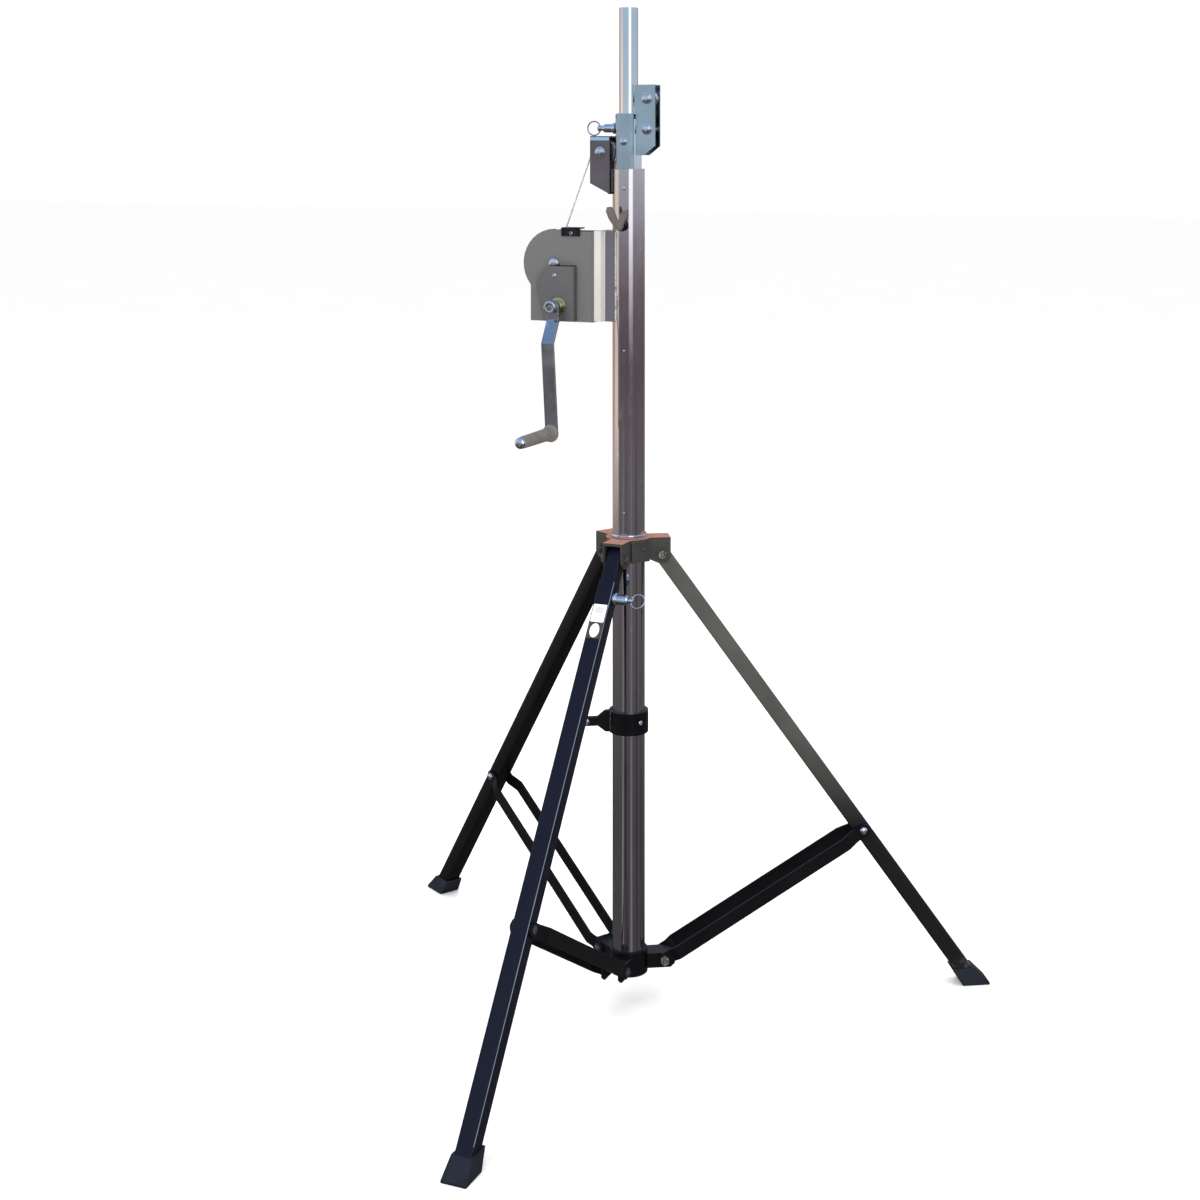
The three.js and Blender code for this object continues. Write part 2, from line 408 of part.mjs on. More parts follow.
add("crank_arm", onCrank(fuse([armBar, rodY(10.5, 0, 0, CRANK_INNER_Y + 2, -51 - GAP, 20)])
  .subtract(rodY(6.3, 0, 0, -90, 0, 16)).subtract(rodY(4.3, 0, -CRANK_LENGTH, -120, 0, 12))), ZINC);
add("crank_nut", onCrank(rodY(12, 0, 0, -88, CRANK_INNER_Y - GAP,
  20).subtract(rodY(6.3, 0, 0, -85, 0, 16))), ZINC);
add("grip_bolt", onCrank(fuse([rodY(4, 0, -CRANK_LENGTH, GRIP_END_Y, CRANK_OUTER_Y + CRANK_THICK + 5, 12),
  rodY(7, 0, -CRANK_LENGTH, CRANK_OUTER_Y + CRANK_THICK + GAP, CRANK_OUTER_Y + CRANK_THICK + 5, 6),
  turned([[0, 0], [10.2, 0], [9, 4], [5, 6.5], [0, 7]], 20).rotate(90, 0, 0)
    .translate(0, GRIP_END_Y, -CRANK_LENGTH)])), ZINC);
const GRIP_Y0 = -GRIP_END_Y - GAP, GRIP_Y1 = -CRANK_OUTER_Y + GAP;
add("crank_grip", onCrank(turned([[0, GRIP_Y1], [15.5, GRIP_Y1], [16, GRIP_Y1 + 3], [15, GRIP_Y1 + 7],
  [11.8, GRIP_Y1 + 12],
  [11, GRIP_Y0 - 4], [9.8, GRIP_Y0], [0, GRIP_Y0]], 16).subtract(rod(4.3, 0, 300, 12))
  .rotate(90, 0, 0).translate(0, 0, -CRANK_LENGTH)), GRIP_PLASTIC);

// Wire rope: turns on the drum, up over the lower sheave and down inside the outer tube.
const drumRopeR = DRUM_CORE_R + ROPE_R + 3 * GAP;
class DrumTurns extends THREE.Curve {
  constructor(from, turns) { super(); this.from = from; this.turns = turns; }
  getPoint(t, target = new THREE.Vector3()) {
    const a = this.from + 2 * Math.PI * this.turns * (1 - t), r = drumRopeR;
    return target.set(DRUM_X + r * Math.cos(a), 1 + 9 * t, DRUM_Z + r * Math.sin(a));
  }
}
const leaveSheave = new THREE.Vector3(LOWER_SHEAVE_X, 0, LOWER_SHEAVE_Z),
  drumCentre = new THREE.Vector3(DRUM_X, 0, DRUM_Z);
// Common tangent on the -X side of both circles.
const between = Math.atan2(LOWER_SHEAVE_Z - DRUM_Z, LOWER_SHEAVE_X - DRUM_X);
const tangentAngle = between + Math.acos((drumRopeR - SHEAVE_PITCH_R) / leaveSheave.distanceTo(drumCentre));
const onCircle = (x, z, r, a, y) => new THREE.Vector3(x + r * Math.cos(a), y, z + r * Math.sin(a));
const drumLeave = onCircle(DRUM_X, DRUM_Z, drumRopeR, tangentAngle, 10);
const sheaveMeet = onCircle(LOWER_SHEAVE_X, LOWER_SHEAVE_Z, SHEAVE_PITCH_R, tangentAngle, 0);
function sweep(curve, steps) {
  const ring = new THREE.Shape(Array.from({ length: 6 }, (_, i) => new THREE.Vector2(
    ROPE_R * Math.cos((i * Math.PI) / 3), ROPE_R * Math.sin((i * Math.PI) / 3))));
  return toSolid(new THREE.ExtrudeGeometry(ring, { steps, bevelEnabled: false, extrudePath: curve }));
}
class SheaveArc extends THREE.Curve {
  getPoint(t, target = new THREE.Vector3()) {
    return target.copy(onCircle(LOWER_SHEAVE_X, LOWER_SHEAVE_Z, SHEAVE_PITCH_R, tangentAngle * (1 - t), 0));
  }
}
const straight = (a, b) => {
  const d = b.clone().sub(a).normalize().multiplyScalar(0.6);
  return sweep(new THREE.LineCurve3(a.clone().sub(d), b.clone().add(d)), 1);
};
add("winch_rope", fuse([sweep(new DrumTurns(tangentAngle, 3), 42), straight(drumLeave, sheaveMeet),
  sweep(new SheaveArc(), 14),
  straight(new THREE.Vector3(ROPE_X, 0, LOWER_SHEAVE_Z), new THREE.Vector3(ROPE_X, 0, MIDDLE_Z0 + 2))]),
    ROPE);

// Wing screw that clamps the middle tube through the wall of the outer tube.
const wing = standing([[-5, -8], [5, -8], [9, 2], [18, 17], [18, 26], [11, 29], [5, 22], [1, 11], [-3, 12],
  [-9, 28], [-15, 35],
  [-22, 34], [-24, 26], [-18, 12], [-9, 0]], -51, -45);
add("wing_nut_boss", rodY(10, 0, WING_Z, -41, -OUTER_R + 1.8, 16)
  .subtract(rod(OUTER_R + GAP, 1400, 1500, 32))
  .subtract(rodY(4.4, 0, WING_Z, -60, 0, 12)), BLACK_PAINT);
add("wing_screw", fuse([rodY(4, 0, 0, -52, -OUTER_R - GAP, 12), rodY(8, 0, 0, -52, -41 - GAP, 16), wing])
  .translate(0, 0, WING_Z), BLACK_PAINT);

// ---- put the origin under the middle of the footprint -------------------------------------------
const extent = new THREE.Box3().setFromObject(stand);
const STAND_SHIFT_Y = -(extent.min.y + extent.max.y) / 2;
stand.traverse((item) => {
  if (item.isMesh) item.geometry.translate(0, STAND_SHIFT_Y, 0);
});

export default stand;
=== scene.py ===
"""Looks of the crank lighting stand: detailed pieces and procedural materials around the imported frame.

Lengths in the piece functions are millimetres about the mast axis, as in the CAD source; PLACE carries
them into the row frame. The crank and the levelling leg face -Y, the winch stands on the -X side.
"""

import json
import math

import bmesh
import bpy
from mathutils import Matrix, Vector, noise

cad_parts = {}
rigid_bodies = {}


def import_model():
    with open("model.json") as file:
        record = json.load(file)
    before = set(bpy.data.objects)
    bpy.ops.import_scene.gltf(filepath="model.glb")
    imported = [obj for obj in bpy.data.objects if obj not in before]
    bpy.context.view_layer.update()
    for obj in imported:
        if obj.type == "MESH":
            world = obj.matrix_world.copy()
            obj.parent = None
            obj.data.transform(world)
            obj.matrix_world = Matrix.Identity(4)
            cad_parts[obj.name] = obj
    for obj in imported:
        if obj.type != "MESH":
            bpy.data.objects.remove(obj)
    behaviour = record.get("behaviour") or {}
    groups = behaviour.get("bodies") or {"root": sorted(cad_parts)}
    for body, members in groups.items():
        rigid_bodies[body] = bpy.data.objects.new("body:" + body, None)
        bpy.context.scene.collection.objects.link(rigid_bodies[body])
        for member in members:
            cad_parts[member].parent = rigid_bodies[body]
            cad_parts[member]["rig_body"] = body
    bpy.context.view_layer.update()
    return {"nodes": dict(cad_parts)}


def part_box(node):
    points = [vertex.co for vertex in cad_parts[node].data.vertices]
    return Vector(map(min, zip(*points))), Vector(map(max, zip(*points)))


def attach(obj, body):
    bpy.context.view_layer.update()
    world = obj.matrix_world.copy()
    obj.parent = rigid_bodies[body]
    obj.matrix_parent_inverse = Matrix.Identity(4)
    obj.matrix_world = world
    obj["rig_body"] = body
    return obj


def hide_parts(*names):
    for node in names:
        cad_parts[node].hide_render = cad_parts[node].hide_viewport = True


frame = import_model()
NODES = frame["nodes"]

MM = 0.001
low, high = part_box("mast_outer_tube")
MAST_Y = (low.y + high.y) / 2
PLACE = Matrix.Translation((0, MAST_Y, 0)) @ Matrix.Scale(MM, 4)
rad = math.radians

# ---- dimensions shared with the CAD, mm ----------------------------------------------------------
LEG_DIRECTIONS = {"front": -90, "right": 30, "rear": 150}
LEG_PIVOT_R, LEG_PIVOT_Z, FOOT_R = 60, 827, 656
LEG_ANGLE = math.atan2(FOOT_R - LEG_PIVOT_R, LEG_PIVOT_Z)
LEG_LENGTH = math.hypot(FOOT_R - LEG_PIVOT_R, LEG_PIVOT_Z)
LEG_SIDE, LEVELLER_TOP, LEG_PIN_AT = 30, 47, 76
LEVELLER_INNER, LEVELLER_OUTER = 27.6, 30.4
OUTER_R, OUTER_BORE, OUTER_Z0, OUTER_TOP = 30, 28.5, 72, 1538
MIDDLE_R, MIDDLE_BORE, MIDDLE_Z0, MIDDLE_TOP = 24.5, 22.75, 132, 1630
INNER_R, INNER_BORE, INNER_Z0, INNER_TOP = 17.5, 15.75, 140, 1836
HUB_PIVOT_R, HUB_PIVOT_Z = 64, 79
BRACE_AT = 0.638 * LEG_LENGTH
DRUM_X, DRUM_Z = -135, 1362
SHAFT_X, SHAFT_Z = -121.5, 1283.959
CRANK_TILT, CRANK_LENGTH = 3, 228
FRAME_HALF = 36
MAST_PIN_Z, WING_Z = 1613, 1434
LOWER_SHEAVE_X, LOWER_SHEAVE_Z, UPPER_SHEAVE_X, UPPER_SHEAVE_Z, SHEAVE_R = -49.5, 1569, 42, 1667, 23
ROPE_R, ROPE_X = 1.7, -26.5

ALONG_Y = Matrix.Rotation(rad(-90), 4, "X")  # carries +Z to +Y
ALONG_X = Matrix.Rotation(rad(90), 4, "Y")  # carries +Z to +X
FLIPPED = Matrix.Rotation(rad(180), 4, "X")  # turns +Z to -Z
move = lambda x, y, z: Matrix.Translation((x, y, z))
turn_z = lambda degrees: Matrix.Rotation(rad(degrees), 4, "Z")
swing = move(LEG_PIVOT_R, 0, LEG_PIVOT_Z) @ Matrix.Rotation(-LEG_ANGLE, 4, "Y")
on_crank = move(SHAFT_X, 0, SHAFT_Z) @ Matrix.Rotation(rad(-CRANK_TILT), 4, "Y")


# ---- materials -----------------------------------------------------------------------------------
class Tree:
    """A material's node tree, with short calls for adding and linking nodes."""

    def __init__(self, name):
        self.material = bpy.data.materials.new(name)
        self.material.use_nodes = True
        self.tree = self.material.node_tree
        self.tree.nodes.clear()
        self.out = self.add("ShaderNodeOutputMaterial")
        self.bsdf = self.add("ShaderNodeBsdfPrincipled")
        self.link(self.bsdf, "BSDF", self.out, "Surface")
        self.coords = self.add("ShaderNodeTexCoord")
        self.bumps = []

    def add(self, kind, **settings):
        node = self.tree.nodes.new(kind)
        for key, value in settings.items():
            setattr(node, key, value)
        return node

    def link(self, a, out, b, into):
        self.tree.links.new(a.outputs[out], b.inputs[into])

    def noise(self, scale, detail=4, rough=0.6, stretch=(1, 1, 1), turn=(0, 0, 0), distortion=0.0):
        mapping = self.add("ShaderNodeMapping")
        mapping.inputs["Scale"].default_value = stretch
        mapping.inputs["Rotation"].default_value = turn
        self.link(self.coords, "Object", mapping, "Vector")
        n = self.add("ShaderNodeTexNoise")
        n.inputs["Scale"].default_value = scale
        n.inputs["Detail"].default_value = detail
        n.inputs["Roughness"].default_value = rough
        n.inputs["Distortion"].default_value = distortion
        self.link(mapping, "Vector", n, "Vector")
        return n

    def ramp(self, source, stops, out="Fac"):
        r = self.add("ShaderNodeValToRGB")
        elements = r.color_ramp.elements
        while len(elements) < len(stops):
            elements.new(0.5)
        for e, (at, colour) in zip(elements, stops):
            e.position = at
            e.color = (*colour, 1) if len(colour) == 3 else colour
        self.link(source, out, r, "Fac")
        return r

    def spread(self, source, lo, hi, from_lo=0.3, from_hi=0.7, out="Fac"):
        m = self.add("ShaderNodeMapRange")
        for key, value in (("From Min", from_lo), ("From Max", from_hi), ("To Min", lo), ("To Max", hi)):
            m.inputs[key].default_value = value
        self.link(source, out, m, "Value")
        return m

    def mix(self, factor, factor_out, a, a_out, b, blend="MIX"):
        """Mixes the colour of node a with b, which is a node's Color or a plain colour."""
        m = self.add("ShaderNodeMix", data_type="RGBA", blend_type=blend)
        self.tree.links.new(factor.outputs[factor_out], m.inputs[0])
        self.tree.links.new(a.outputs[a_out], m.inputs[6])
        if isinstance(b, tuple):
            m.inputs[7].default_value = (*b, 1)
        else:
            self.tree.links.new(b.outputs["Color"], m.inputs[7])
        return m

    def bump(self, source, strength, distance=0.0004, out="Fac"):
        b = self.add("ShaderNodeBump")
        b.inputs["Strength"].default_value = strength
        b.inputs["Distance"].default_value = distance
        self.link(source, out, b, "Height")
        if self.bumps:
            self.link(self.bumps[-1], "Normal", b, "Normal")
        self.bumps.append(b)
        self.link(b, "Normal", self.bsdf, "Normal")

    def edges(self, start=0.52, end=0.60, strength=1.0, scale=90.0):
        """A mask of worn outside edges, broken up by noise."""
        geometry = self.add("ShaderNodeNewGeometry")
        point = self.spread(geometry, 0, strength, start, end, out="Pointiness")
        patch = self.spread(self.noise(scale, 3), 0.1, 1.0, 0.4, 0.62)
        m = self.add("ShaderNodeMath", operation="MULTIPLY", use_clamp=True)
        self.link(point, "Result", m, 0)
        self.link(patch, "Result", m, 1)
        return m


def finish_material(name, base, second, metallic, rough, patches=14.0, grain=220.0, bump=0.05, wear=None,
        wear_start=0.52, stretch=(1, 1, 1), specks=None, specular=None, painted_shade=None, tops=None):
    """A worn, slightly uneven finish: patchy colour, smudged roughness, fine bump and worn edges, with
    optional painted shade along one axis and painted light on upward faces.
    """
    t = Tree(name)
    t.bsdf.inputs["Metallic"].default_value = metallic
    if specular is not None:
        t.bsdf.inputs["Specular IOR Level"].default_value = specular
    colour = t.ramp(t.noise(patches, 5, 0.62, stretch), [(0.32, base), (0.72, second)])
    out = "Color"
    if specks:
        speck_colour, scale, lo, hi = specks
        mask = t.spread(t.noise(scale, 6, 0.7), 0, 1, lo, hi)
        colour, out = t.mix(mask, "Result", colour, out, speck_colour), 2
    # painted shade: a darker colour painted over the surface past a point along one axis, standing in for
    # shade
    if painted_shade:
        other, axis, start, end = painted_shade
        split = t.add("ShaderNodeSeparateXYZ")
        t.link(t.coords, "Object", split, "Vector")
        colour, out = t.mix(t.spread(split, 0, 1, start, end, out=axis), "Result", colour, out, other), 2
    # tops is painted light: a colour painted on upward faces, standing in for light reflected from them
    if tops:
        normal = t.add("ShaderNodeSeparateXYZ")
        t.link(t.coords, "Normal", normal, "Vector")
        colour, out = t.mix(t.spread(normal, 0, 1, 0.75, 0.95, out="Z"), "Result", colour, out, tops), 2
    if wear:
        colour, out = t.mix(t.edges(wear_start), 0, colour, out, wear), 2
    t.tree.links.new(colour.outputs[out], t.bsdf.inputs["Base Color"])
    smudge = t.spread(t.noise(patches * 1.9, 6, 0.65, stretch, distortion=0.6), rough[0], rough[1])
    t.link(smudge, "Result", t.bsdf, "Roughness")
    t.bump(t.noise(grain, 4, 0.6, stretch), bump)
    return t


def chrome(name, tone, second, rough=(0.05, 0.13)):
    """Polished plated tube: faint draw lines along Z, smudges, small water spots and pits."""
    t = Tree(name)
    t.bsdf.inputs["Metallic"].default_value = 1.0
    lines = t.noise(420, 2, 0.5, (1, 1, 0.012))
    colour = t.ramp(t.noise(9, 5, 0.6, (1, 1, 0.35)), [(0.3, tone), (0.7, second)])
    spots = t.spread(t.noise(64, 7, 0.72, (1, 1, 0.6)), 0, 0.55, 0.60, 0.72)
    colour = t.mix(spots, "Result", colour, "Color", tuple(min(1, c * 1.5) for c in second))
    t.tree.links.new(colour.outputs[2], t.bsdf.inputs["Base Color"])
    smudge = t.spread(t.noise(26, 6, 0.66, (1, 1, 0.5), distortion=0.8), rough[0], rough[1], 0.35, 0.7)
    t.link(smudge, "Result", t.bsdf, "Roughness")
    t.bump(lines, 0.10, 0.00012)
    t.bump(t.noise(7, 3, 0.5, (1, 1, 0.25)), 0.05, 0.004)
    t.bump(t.noise(95, 5, 0.7), 0.022, 0.0006)
    return t.material


M = {}
M["chrome"] = chrome("chrome_tube", (0.50, 0.485, 0.50), (0.64, 0.62, 0.64))
M["chrome_bright"] = chrome("chrome_top_tube", (0.66, 0.70, 0.74), (0.78, 0.80, 0.82), (0.04, 0.10))
M["black"] = finish_material("black_paint", (0.0026, 0.0026, 0.0034), (0.0045, 0.0044, 0.0054), 0.0,
    (0.24, 0.36), patches=11, grain=420, bump=0.06, wear=(0.08, 0.08, 0.085), wear_start=0.56,
    specks=((0.014, 0.013, 0.012), 140, 0.66, 0.76), specular=0.16).material
# painted reflection: the blue tint in this black paint stands in for the sky reflected in the front leg
M["navy"] = finish_material("black_paint_front_leg", (0.0038, 0.0044, 0.0110), (0.0050, 0.0057, 0.0135),
    0.0, (0.26, 0.38), patches=9, grain=420, bump=0.05, specks=((0.018, 0.018, 0.025), 150, 0.68, 0.78),
    specular=0.22).material
# painted highlight: the light colour of the strip along the front leg's corner stands in for the edge's
# reflection
M["painted_arris"] = finish_material("worn_leg_edge", (0.10, 0.12, 0.15), (0.24, 0.28, 0.32), 0.3, (0.25, 0.40),
    patches=16, grain=300, bump=0.05).material
# painted light and shade on the right leg's black paint: lighter olive on its upper part, near black
# painted below about 0.3 to 0.5 m; the specks and worn edges are dust and wear
M["olive"] = finish_material("black_paint_painted_light_and_shade", (0.052, 0.051, 0.046), (0.078, 0.077, 0.070), 0.0,
    (0.26, 0.40), patches=7, grain=380, bump=0.07, wear=(0.24, 0.22, 0.20), wear_start=0.54,
    specks=((0.11, 0.105, 0.095), 120, 0.62, 0.74), specular=0.40,
    painted_shade=((0.0045, 0.0044, 0.0048), "Z", 0.50, 0.30)).material
# painted light: the orange on the collar's upward faces stands in for warm light reflected on its tops
M["collar"] = finish_material("collar_paint", (0.024, 0.023, 0.021), (0.048, 0.047, 0.042), 0.0,
    (0.24, 0.38), patches=9, grain=380, bump=0.07, specular=0.35, tops=(0.36, 0.155, 0.105)).material
M["housing"] = finish_material("grey_black_paint", (0.046, 0.042, 0.050), (0.070, 0.064, 0.072), 0.0,
    (0.30, 0.42), patches=12, grain=300, bump=0.06).material
M["winch"] = finish_material("winch_grey_paint", (0.122, 0.122, 0.121), (0.140, 0.140, 0.138), 0.12,
    (0.36, 0.46), patches=9, grain=260, bump=0.05, stretch=(1, 1, 0.12)).material
M["cover"] = finish_material("winch_cover_paint", (0.086, 0.085, 0.088), (0.102, 0.101, 0.103), 0.12,
    (0.30, 0.40), patches=8, grain=260, bump=0.04, stretch=(1, 1, 0.2)).material
# painted reflection and shade: the pale beige stands in for the bracket's bright reflection, and the dark
# violet painted on the part nearer the mast than x = -35.5 mm is painted shade
M["bracket"] = finish_material("winch_bracket_painted_sheen_and_shade", (0.50, 0.49, 0.455), (0.60, 0.59, 0.55), 0.15,
    (0.16, 0.28), patches=12, grain=300, bump=0.05, stretch=(1, 1, 0.25),
    painted_shade=((0.115, 0.105, 0.125), "X", -0.0375, -0.0355)).material
M["zinc"] = finish_material("bright_zinc", (0.42, 0.52, 0.57), (0.54, 0.64, 0.69), 1.0, (0.10, 0.20),
    patches=14, grain=160, bump=0.05, specks=((0.36, 0.44, 0.48), 60, 0.62, 0.76)).material
# painted reflection: this sky blue stands in for the sky reflected on the housing's top edge
M["painted_sky_blue"] = finish_material("painted_sky_reflection_strip", (0.22, 0.42, 0.62), (0.34, 0.56, 0.74), 0.5, (0.2, 0.3),
    patches=20, grain=200, bump=0.04).material
M["bolt"] = finish_material("zinc_bolt", (0.60, 0.66, 0.72), (0.82, 0.86, 0.90), 1.0, (0.14, 0.28),
    patches=80, grain=400, bump=0.05, wear=(0.95, 0.95, 0.95)).material
M["dark_bolt"] = finish_material("blackened_bolt", (0.045, 0.042, 0.045), (0.085, 0.080, 0.082), 0.6,
    (0.26, 0.40), patches=70, grain=400, bump=0.06, wear=(0.40, 0.38, 0.36), wear_start=0.54).material
M["wing"] = finish_material("worn_black_wing", (0.090, 0.078, 0.072), (0.16, 0.142, 0.130), 0.25,
    (0.30, 0.46), patches=30, grain=320, bump=0.10, wear=(0.42, 0.39, 0.36), wear_start=0.54).material
M["crank"] = finish_material("crank_zinc", (0.38, 0.41, 0.42), (0.56, 0.60, 0.62), 1.0, (0.12, 0.26),
    patches=18, grain=120, bump=0.10, wear=(0.85, 0.86, 0.84), wear_start=0.53,
    specks=((0.66, 0.70, 0.69), 46, 0.62, 0.70)).material
M["steel"] = finish_material("plain_steel", (0.32, 0.32, 0.33), (0.45, 0.45, 0.46), 1.0, (0.28, 0.44),
    patches=30, grain=350, bump=0.08, wear=(0.6, 0.6, 0.6),
    specks=((0.16, 0.13, 0.10), 60, 0.6, 0.75)).material
M["yellow"] = finish_material("yellow_passivated_zinc", (0.62, 0.52, 0.24), (0.78, 0.66, 0.40), 1.0,
    (0.22, 0.36), patches=60, grain=300, bump=0.06, wear=(0.9, 0.82, 0.6),
    specks=((0.70, 0.45, 0.42), 50, 0.55, 0.75)).material
M["rubber"] = finish_material("black_rubber", (0.0065, 0.0085, 0.0150), (0.0105, 0.0135, 0.0220), 0.0,
    (0.50, 0.66), patches=30, grain=520, bump=0.18, wear=(0.04, 0.042, 0.05), wear_start=0.55,
    specks=((0.030, 0.029, 0.030), 90, 0.62, 0.76), specular=0.3).material
M["grip"] = finish_material("grip_plastic", (0.115, 0.104, 0.093), (0.165, 0.150, 0.134), 0.0, (0.34, 0.48),
    patches=40, grain=420, bump=0.16, wear=(0.30, 0.28, 0.26), wear_start=0.53,
    specks=((0.26, 0.25, 0.23), 120, 0.56, 0.72)).material
M["nylon"] = finish_material("dark_nylon", (0.020, 0.020, 0.022), (0.034, 0.034, 0.036), 0.0, (0.40, 0.55),
    patches=40, grain=500, bump=0.06).material
M["rope"] = finish_material("galvanised_wire_rope", (0.70, 0.62, 0.59), (0.88, 0.80, 0.76), 0.35,
    (0.34, 0.48), patches=120, grain=700, bump=0.10, specks=((0.30, 0.25, 0.23), 300, 0.55, 0.7)).material
M["ring"] = finish_material("ring_wire", (0.55, 0.42, 0.40), (0.74, 0.62, 0.60), 1.0, (0.14, 0.26),
    patches=60, grain=500, bump=0.04, specks=((0.5, 0.22, 0.2), 80, 0.5, 0.7)).material
M["ring_bright"] = finish_material("bright_ring_wire", (0.66, 0.68, 0.70), (0.82, 0.84, 0.85), 1.0,
    (0.10, 0.22), patches=60, grain=500, bump=0.04).material
M["weld"] = finish_material("weld_bead", (0.50, 0.48, 0.45), (0.80, 0.76, 0.72), 0.55, (0.20, 0.42),
    patches=140, grain=420, bump=0.20, specks=((0.16, 0.12, 0.10), 190, 0.52, 0.68)).material
M["label"] = finish_material("plain_label", (0.76, 0.77, 0.75), (0.86, 0.86, 0.84), 0.0, (0.32, 0.45),
    patches=70, grain=300, bump=0.04, specks=((0.60, 0.60, 0.57), 120, 0.60, 0.74)).material
M["label_grey"] = finish_material("label_print_grey", (0.50, 0.51, 0.50), (0.60, 0.60, 0.59), 0.0,
    (0.34, 0.45), patches=60, grain=300, bump=0.03).material
M["label_dark"] = finish_material("dark_label", (0.030, 0.024, 0.020), (0.055, 0.044, 0.036), 0.0,
    (0.3, 0.42), patches=70, grain=300, bump=0.04).material


# ---- mesh helpers --------------------------------------------------------------------------------
def fillet(points, radius, closed=True, steps=3):
    """A polyline with its corners rounded."""
    out, n = [], len(points)
    for i, point in enumerate(points):
        if not closed and i in (0, n - 1):
            out.append(tuple(point))
            continue
        p, a, b = Vector(point), Vector(points[i - 1]), Vector(points[(i + 1) % n])
        r = min(radius, (a - p).length * 0.45, (b - p).length * 0.45)
        s, e = p + (a - p).normalized() * r, p + (b - p).normalized() * r
        for k in range(steps + 1):
            t = k / steps
            out.append(tuple(s * (1 - t) ** 2 + p * (2 * t * (1 - t)) + e * t * t))
    return out


def lathe(profile, segments=64, closed=False):
    """A body turned about Z from (radius, height) pairs; closed joins the last pair to the first."""
    bm, rings = bmesh.new(), []
    for r, z in profile:
        if r < 1e-6:
            rings.append([bm.verts.new((0, 0, z))])
        else:
            rings.append([bm.verts.new((r * math.cos(2 * math.pi * i / segments),
                r * math.sin(2 * math.pi * i / segments), z)) for i in range(segments)])
    for a, b in zip(rings, rings[1:] + (rings[:1] if closed else [])):
        for i in range(segments):
            j = (i + 1) % segments
            if len(a) == 1 and len(b) == 1:
                break
            if len(a) == 1:
                bm.faces.new((a[0], b[j], b[i]))
            elif len(b) == 1:
                bm.faces.new((a[i], a[j], b[0]))
            else:
                bm.faces.new((a[i], a[j], b[j], b[i]))
    return bm


def pipe(r, bore, z0, z1, segments=128, edge=0.5):
    """A tube with eased ends; rings close to the ends keep its long sides straight when shaded."""
    rim, near = fillet([(r, z0), (r, z1), (bore, z1), (bore, z0)], edge), 2.5
    corner = len(rim) // 4
    rim[3 * corner:3 * corner] = [(bore, z1 - near), (bore, z0 + near)]
    rim[corner:corner] = [(r, z0 + near), (r, z1 - near)]
    return lathe(rim, segments, closed=True)


def prism(outline, z0, z1):
    """A plate cut to an outline in X-Y."""
    bm = bmesh.new()
    bottom = [bm.verts.new((x, y, z0)) for x, y in outline]
    top = [bm.verts.new((x, y, z1)) for x, y in outline]
    bm.faces.new(bottom[::-1])
    bm.faces.new(top)
    n = len(outline)
    for i in range(n):
        bm.faces.new((bottom[i], bottom[(i + 1) % n], top[(i + 1) % n], top[i]))
    return bm


def sweep(path, radius, segments=12, closed=False, lobes=0, depth=0.0, pitch=1.0):
    """A tube along a path. radius is a number or a function of the distance run. lobes twist like
    strands."""
    points = [Vector(p) for p in path]
    n = len(points)
    bm, rings, run = bmesh.new(), [], 0.0
    side = None
    for i, p in enumerate(points):
        before = points[i - 1] if closed or i else p
        after = points[(i + 1) % n] if closed or i < n - 1 else p
        tangent = (after - before).normalized()
        if side is None:
            side = tangent.orthogonal().normalized()
        side = (side - tangent * side.dot(tangent)).normalized()
        other = tangent.cross(side)
        if i:
            run += (p - points[i - 1]).length
        r0 = radius(run) if callable(radius) else radius
        ring = []
        for k in range(segments):
            a = 2 * math.pi * k / segments
            furrow = 0.5 - 0.5 * math.cos(lobes * a + 2 * math.pi * run / pitch) if lobes else 0
            r = r0 * (1 - depth * furrow)
            ring.append(bm.verts.new(p + side * (r * math.cos(a)) + other * (r * math.sin(a))))
        rings.append(ring)
    for a, b in zip(rings, rings[1:] + (rings[:1] if closed else [])):
        for k in range(segments):
            j = (k + 1) % segments
            bm.faces.new((a[k], a[j], b[j], b[k]))
    if not closed:
        bm.faces.new(rings[0][::-1])
        bm.faces.new(rings[-1])
    return bm


def merge(*parts):
    """One mesh from several (mesh, matrix) pairs."""
    whole = bmesh.new()
    for bm, matrix in parts:
        bmesh.ops.transform(bm, matrix=matrix, verts=bm.verts)
        scratch = bpy.data.meshes.new("scratch")
        bm.to_mesh(scratch)
        bm.free()
        whole.from_mesh(scratch)
        bpy.data.meshes.remove(scratch)
    return whole


def bevel_edges(bm, width, segments=2, limit=28):
    edges = [e for e in bm.edges if len(e.link_faces) == 2 and e.calc_face_angle(0) > rad(limit)]
    if edges:
        bmesh.ops.bevel(bm, geom=edges, offset=width * MM, segments=segments, profile=0.6, affect="EDGES",
            clamp_overlap=True)


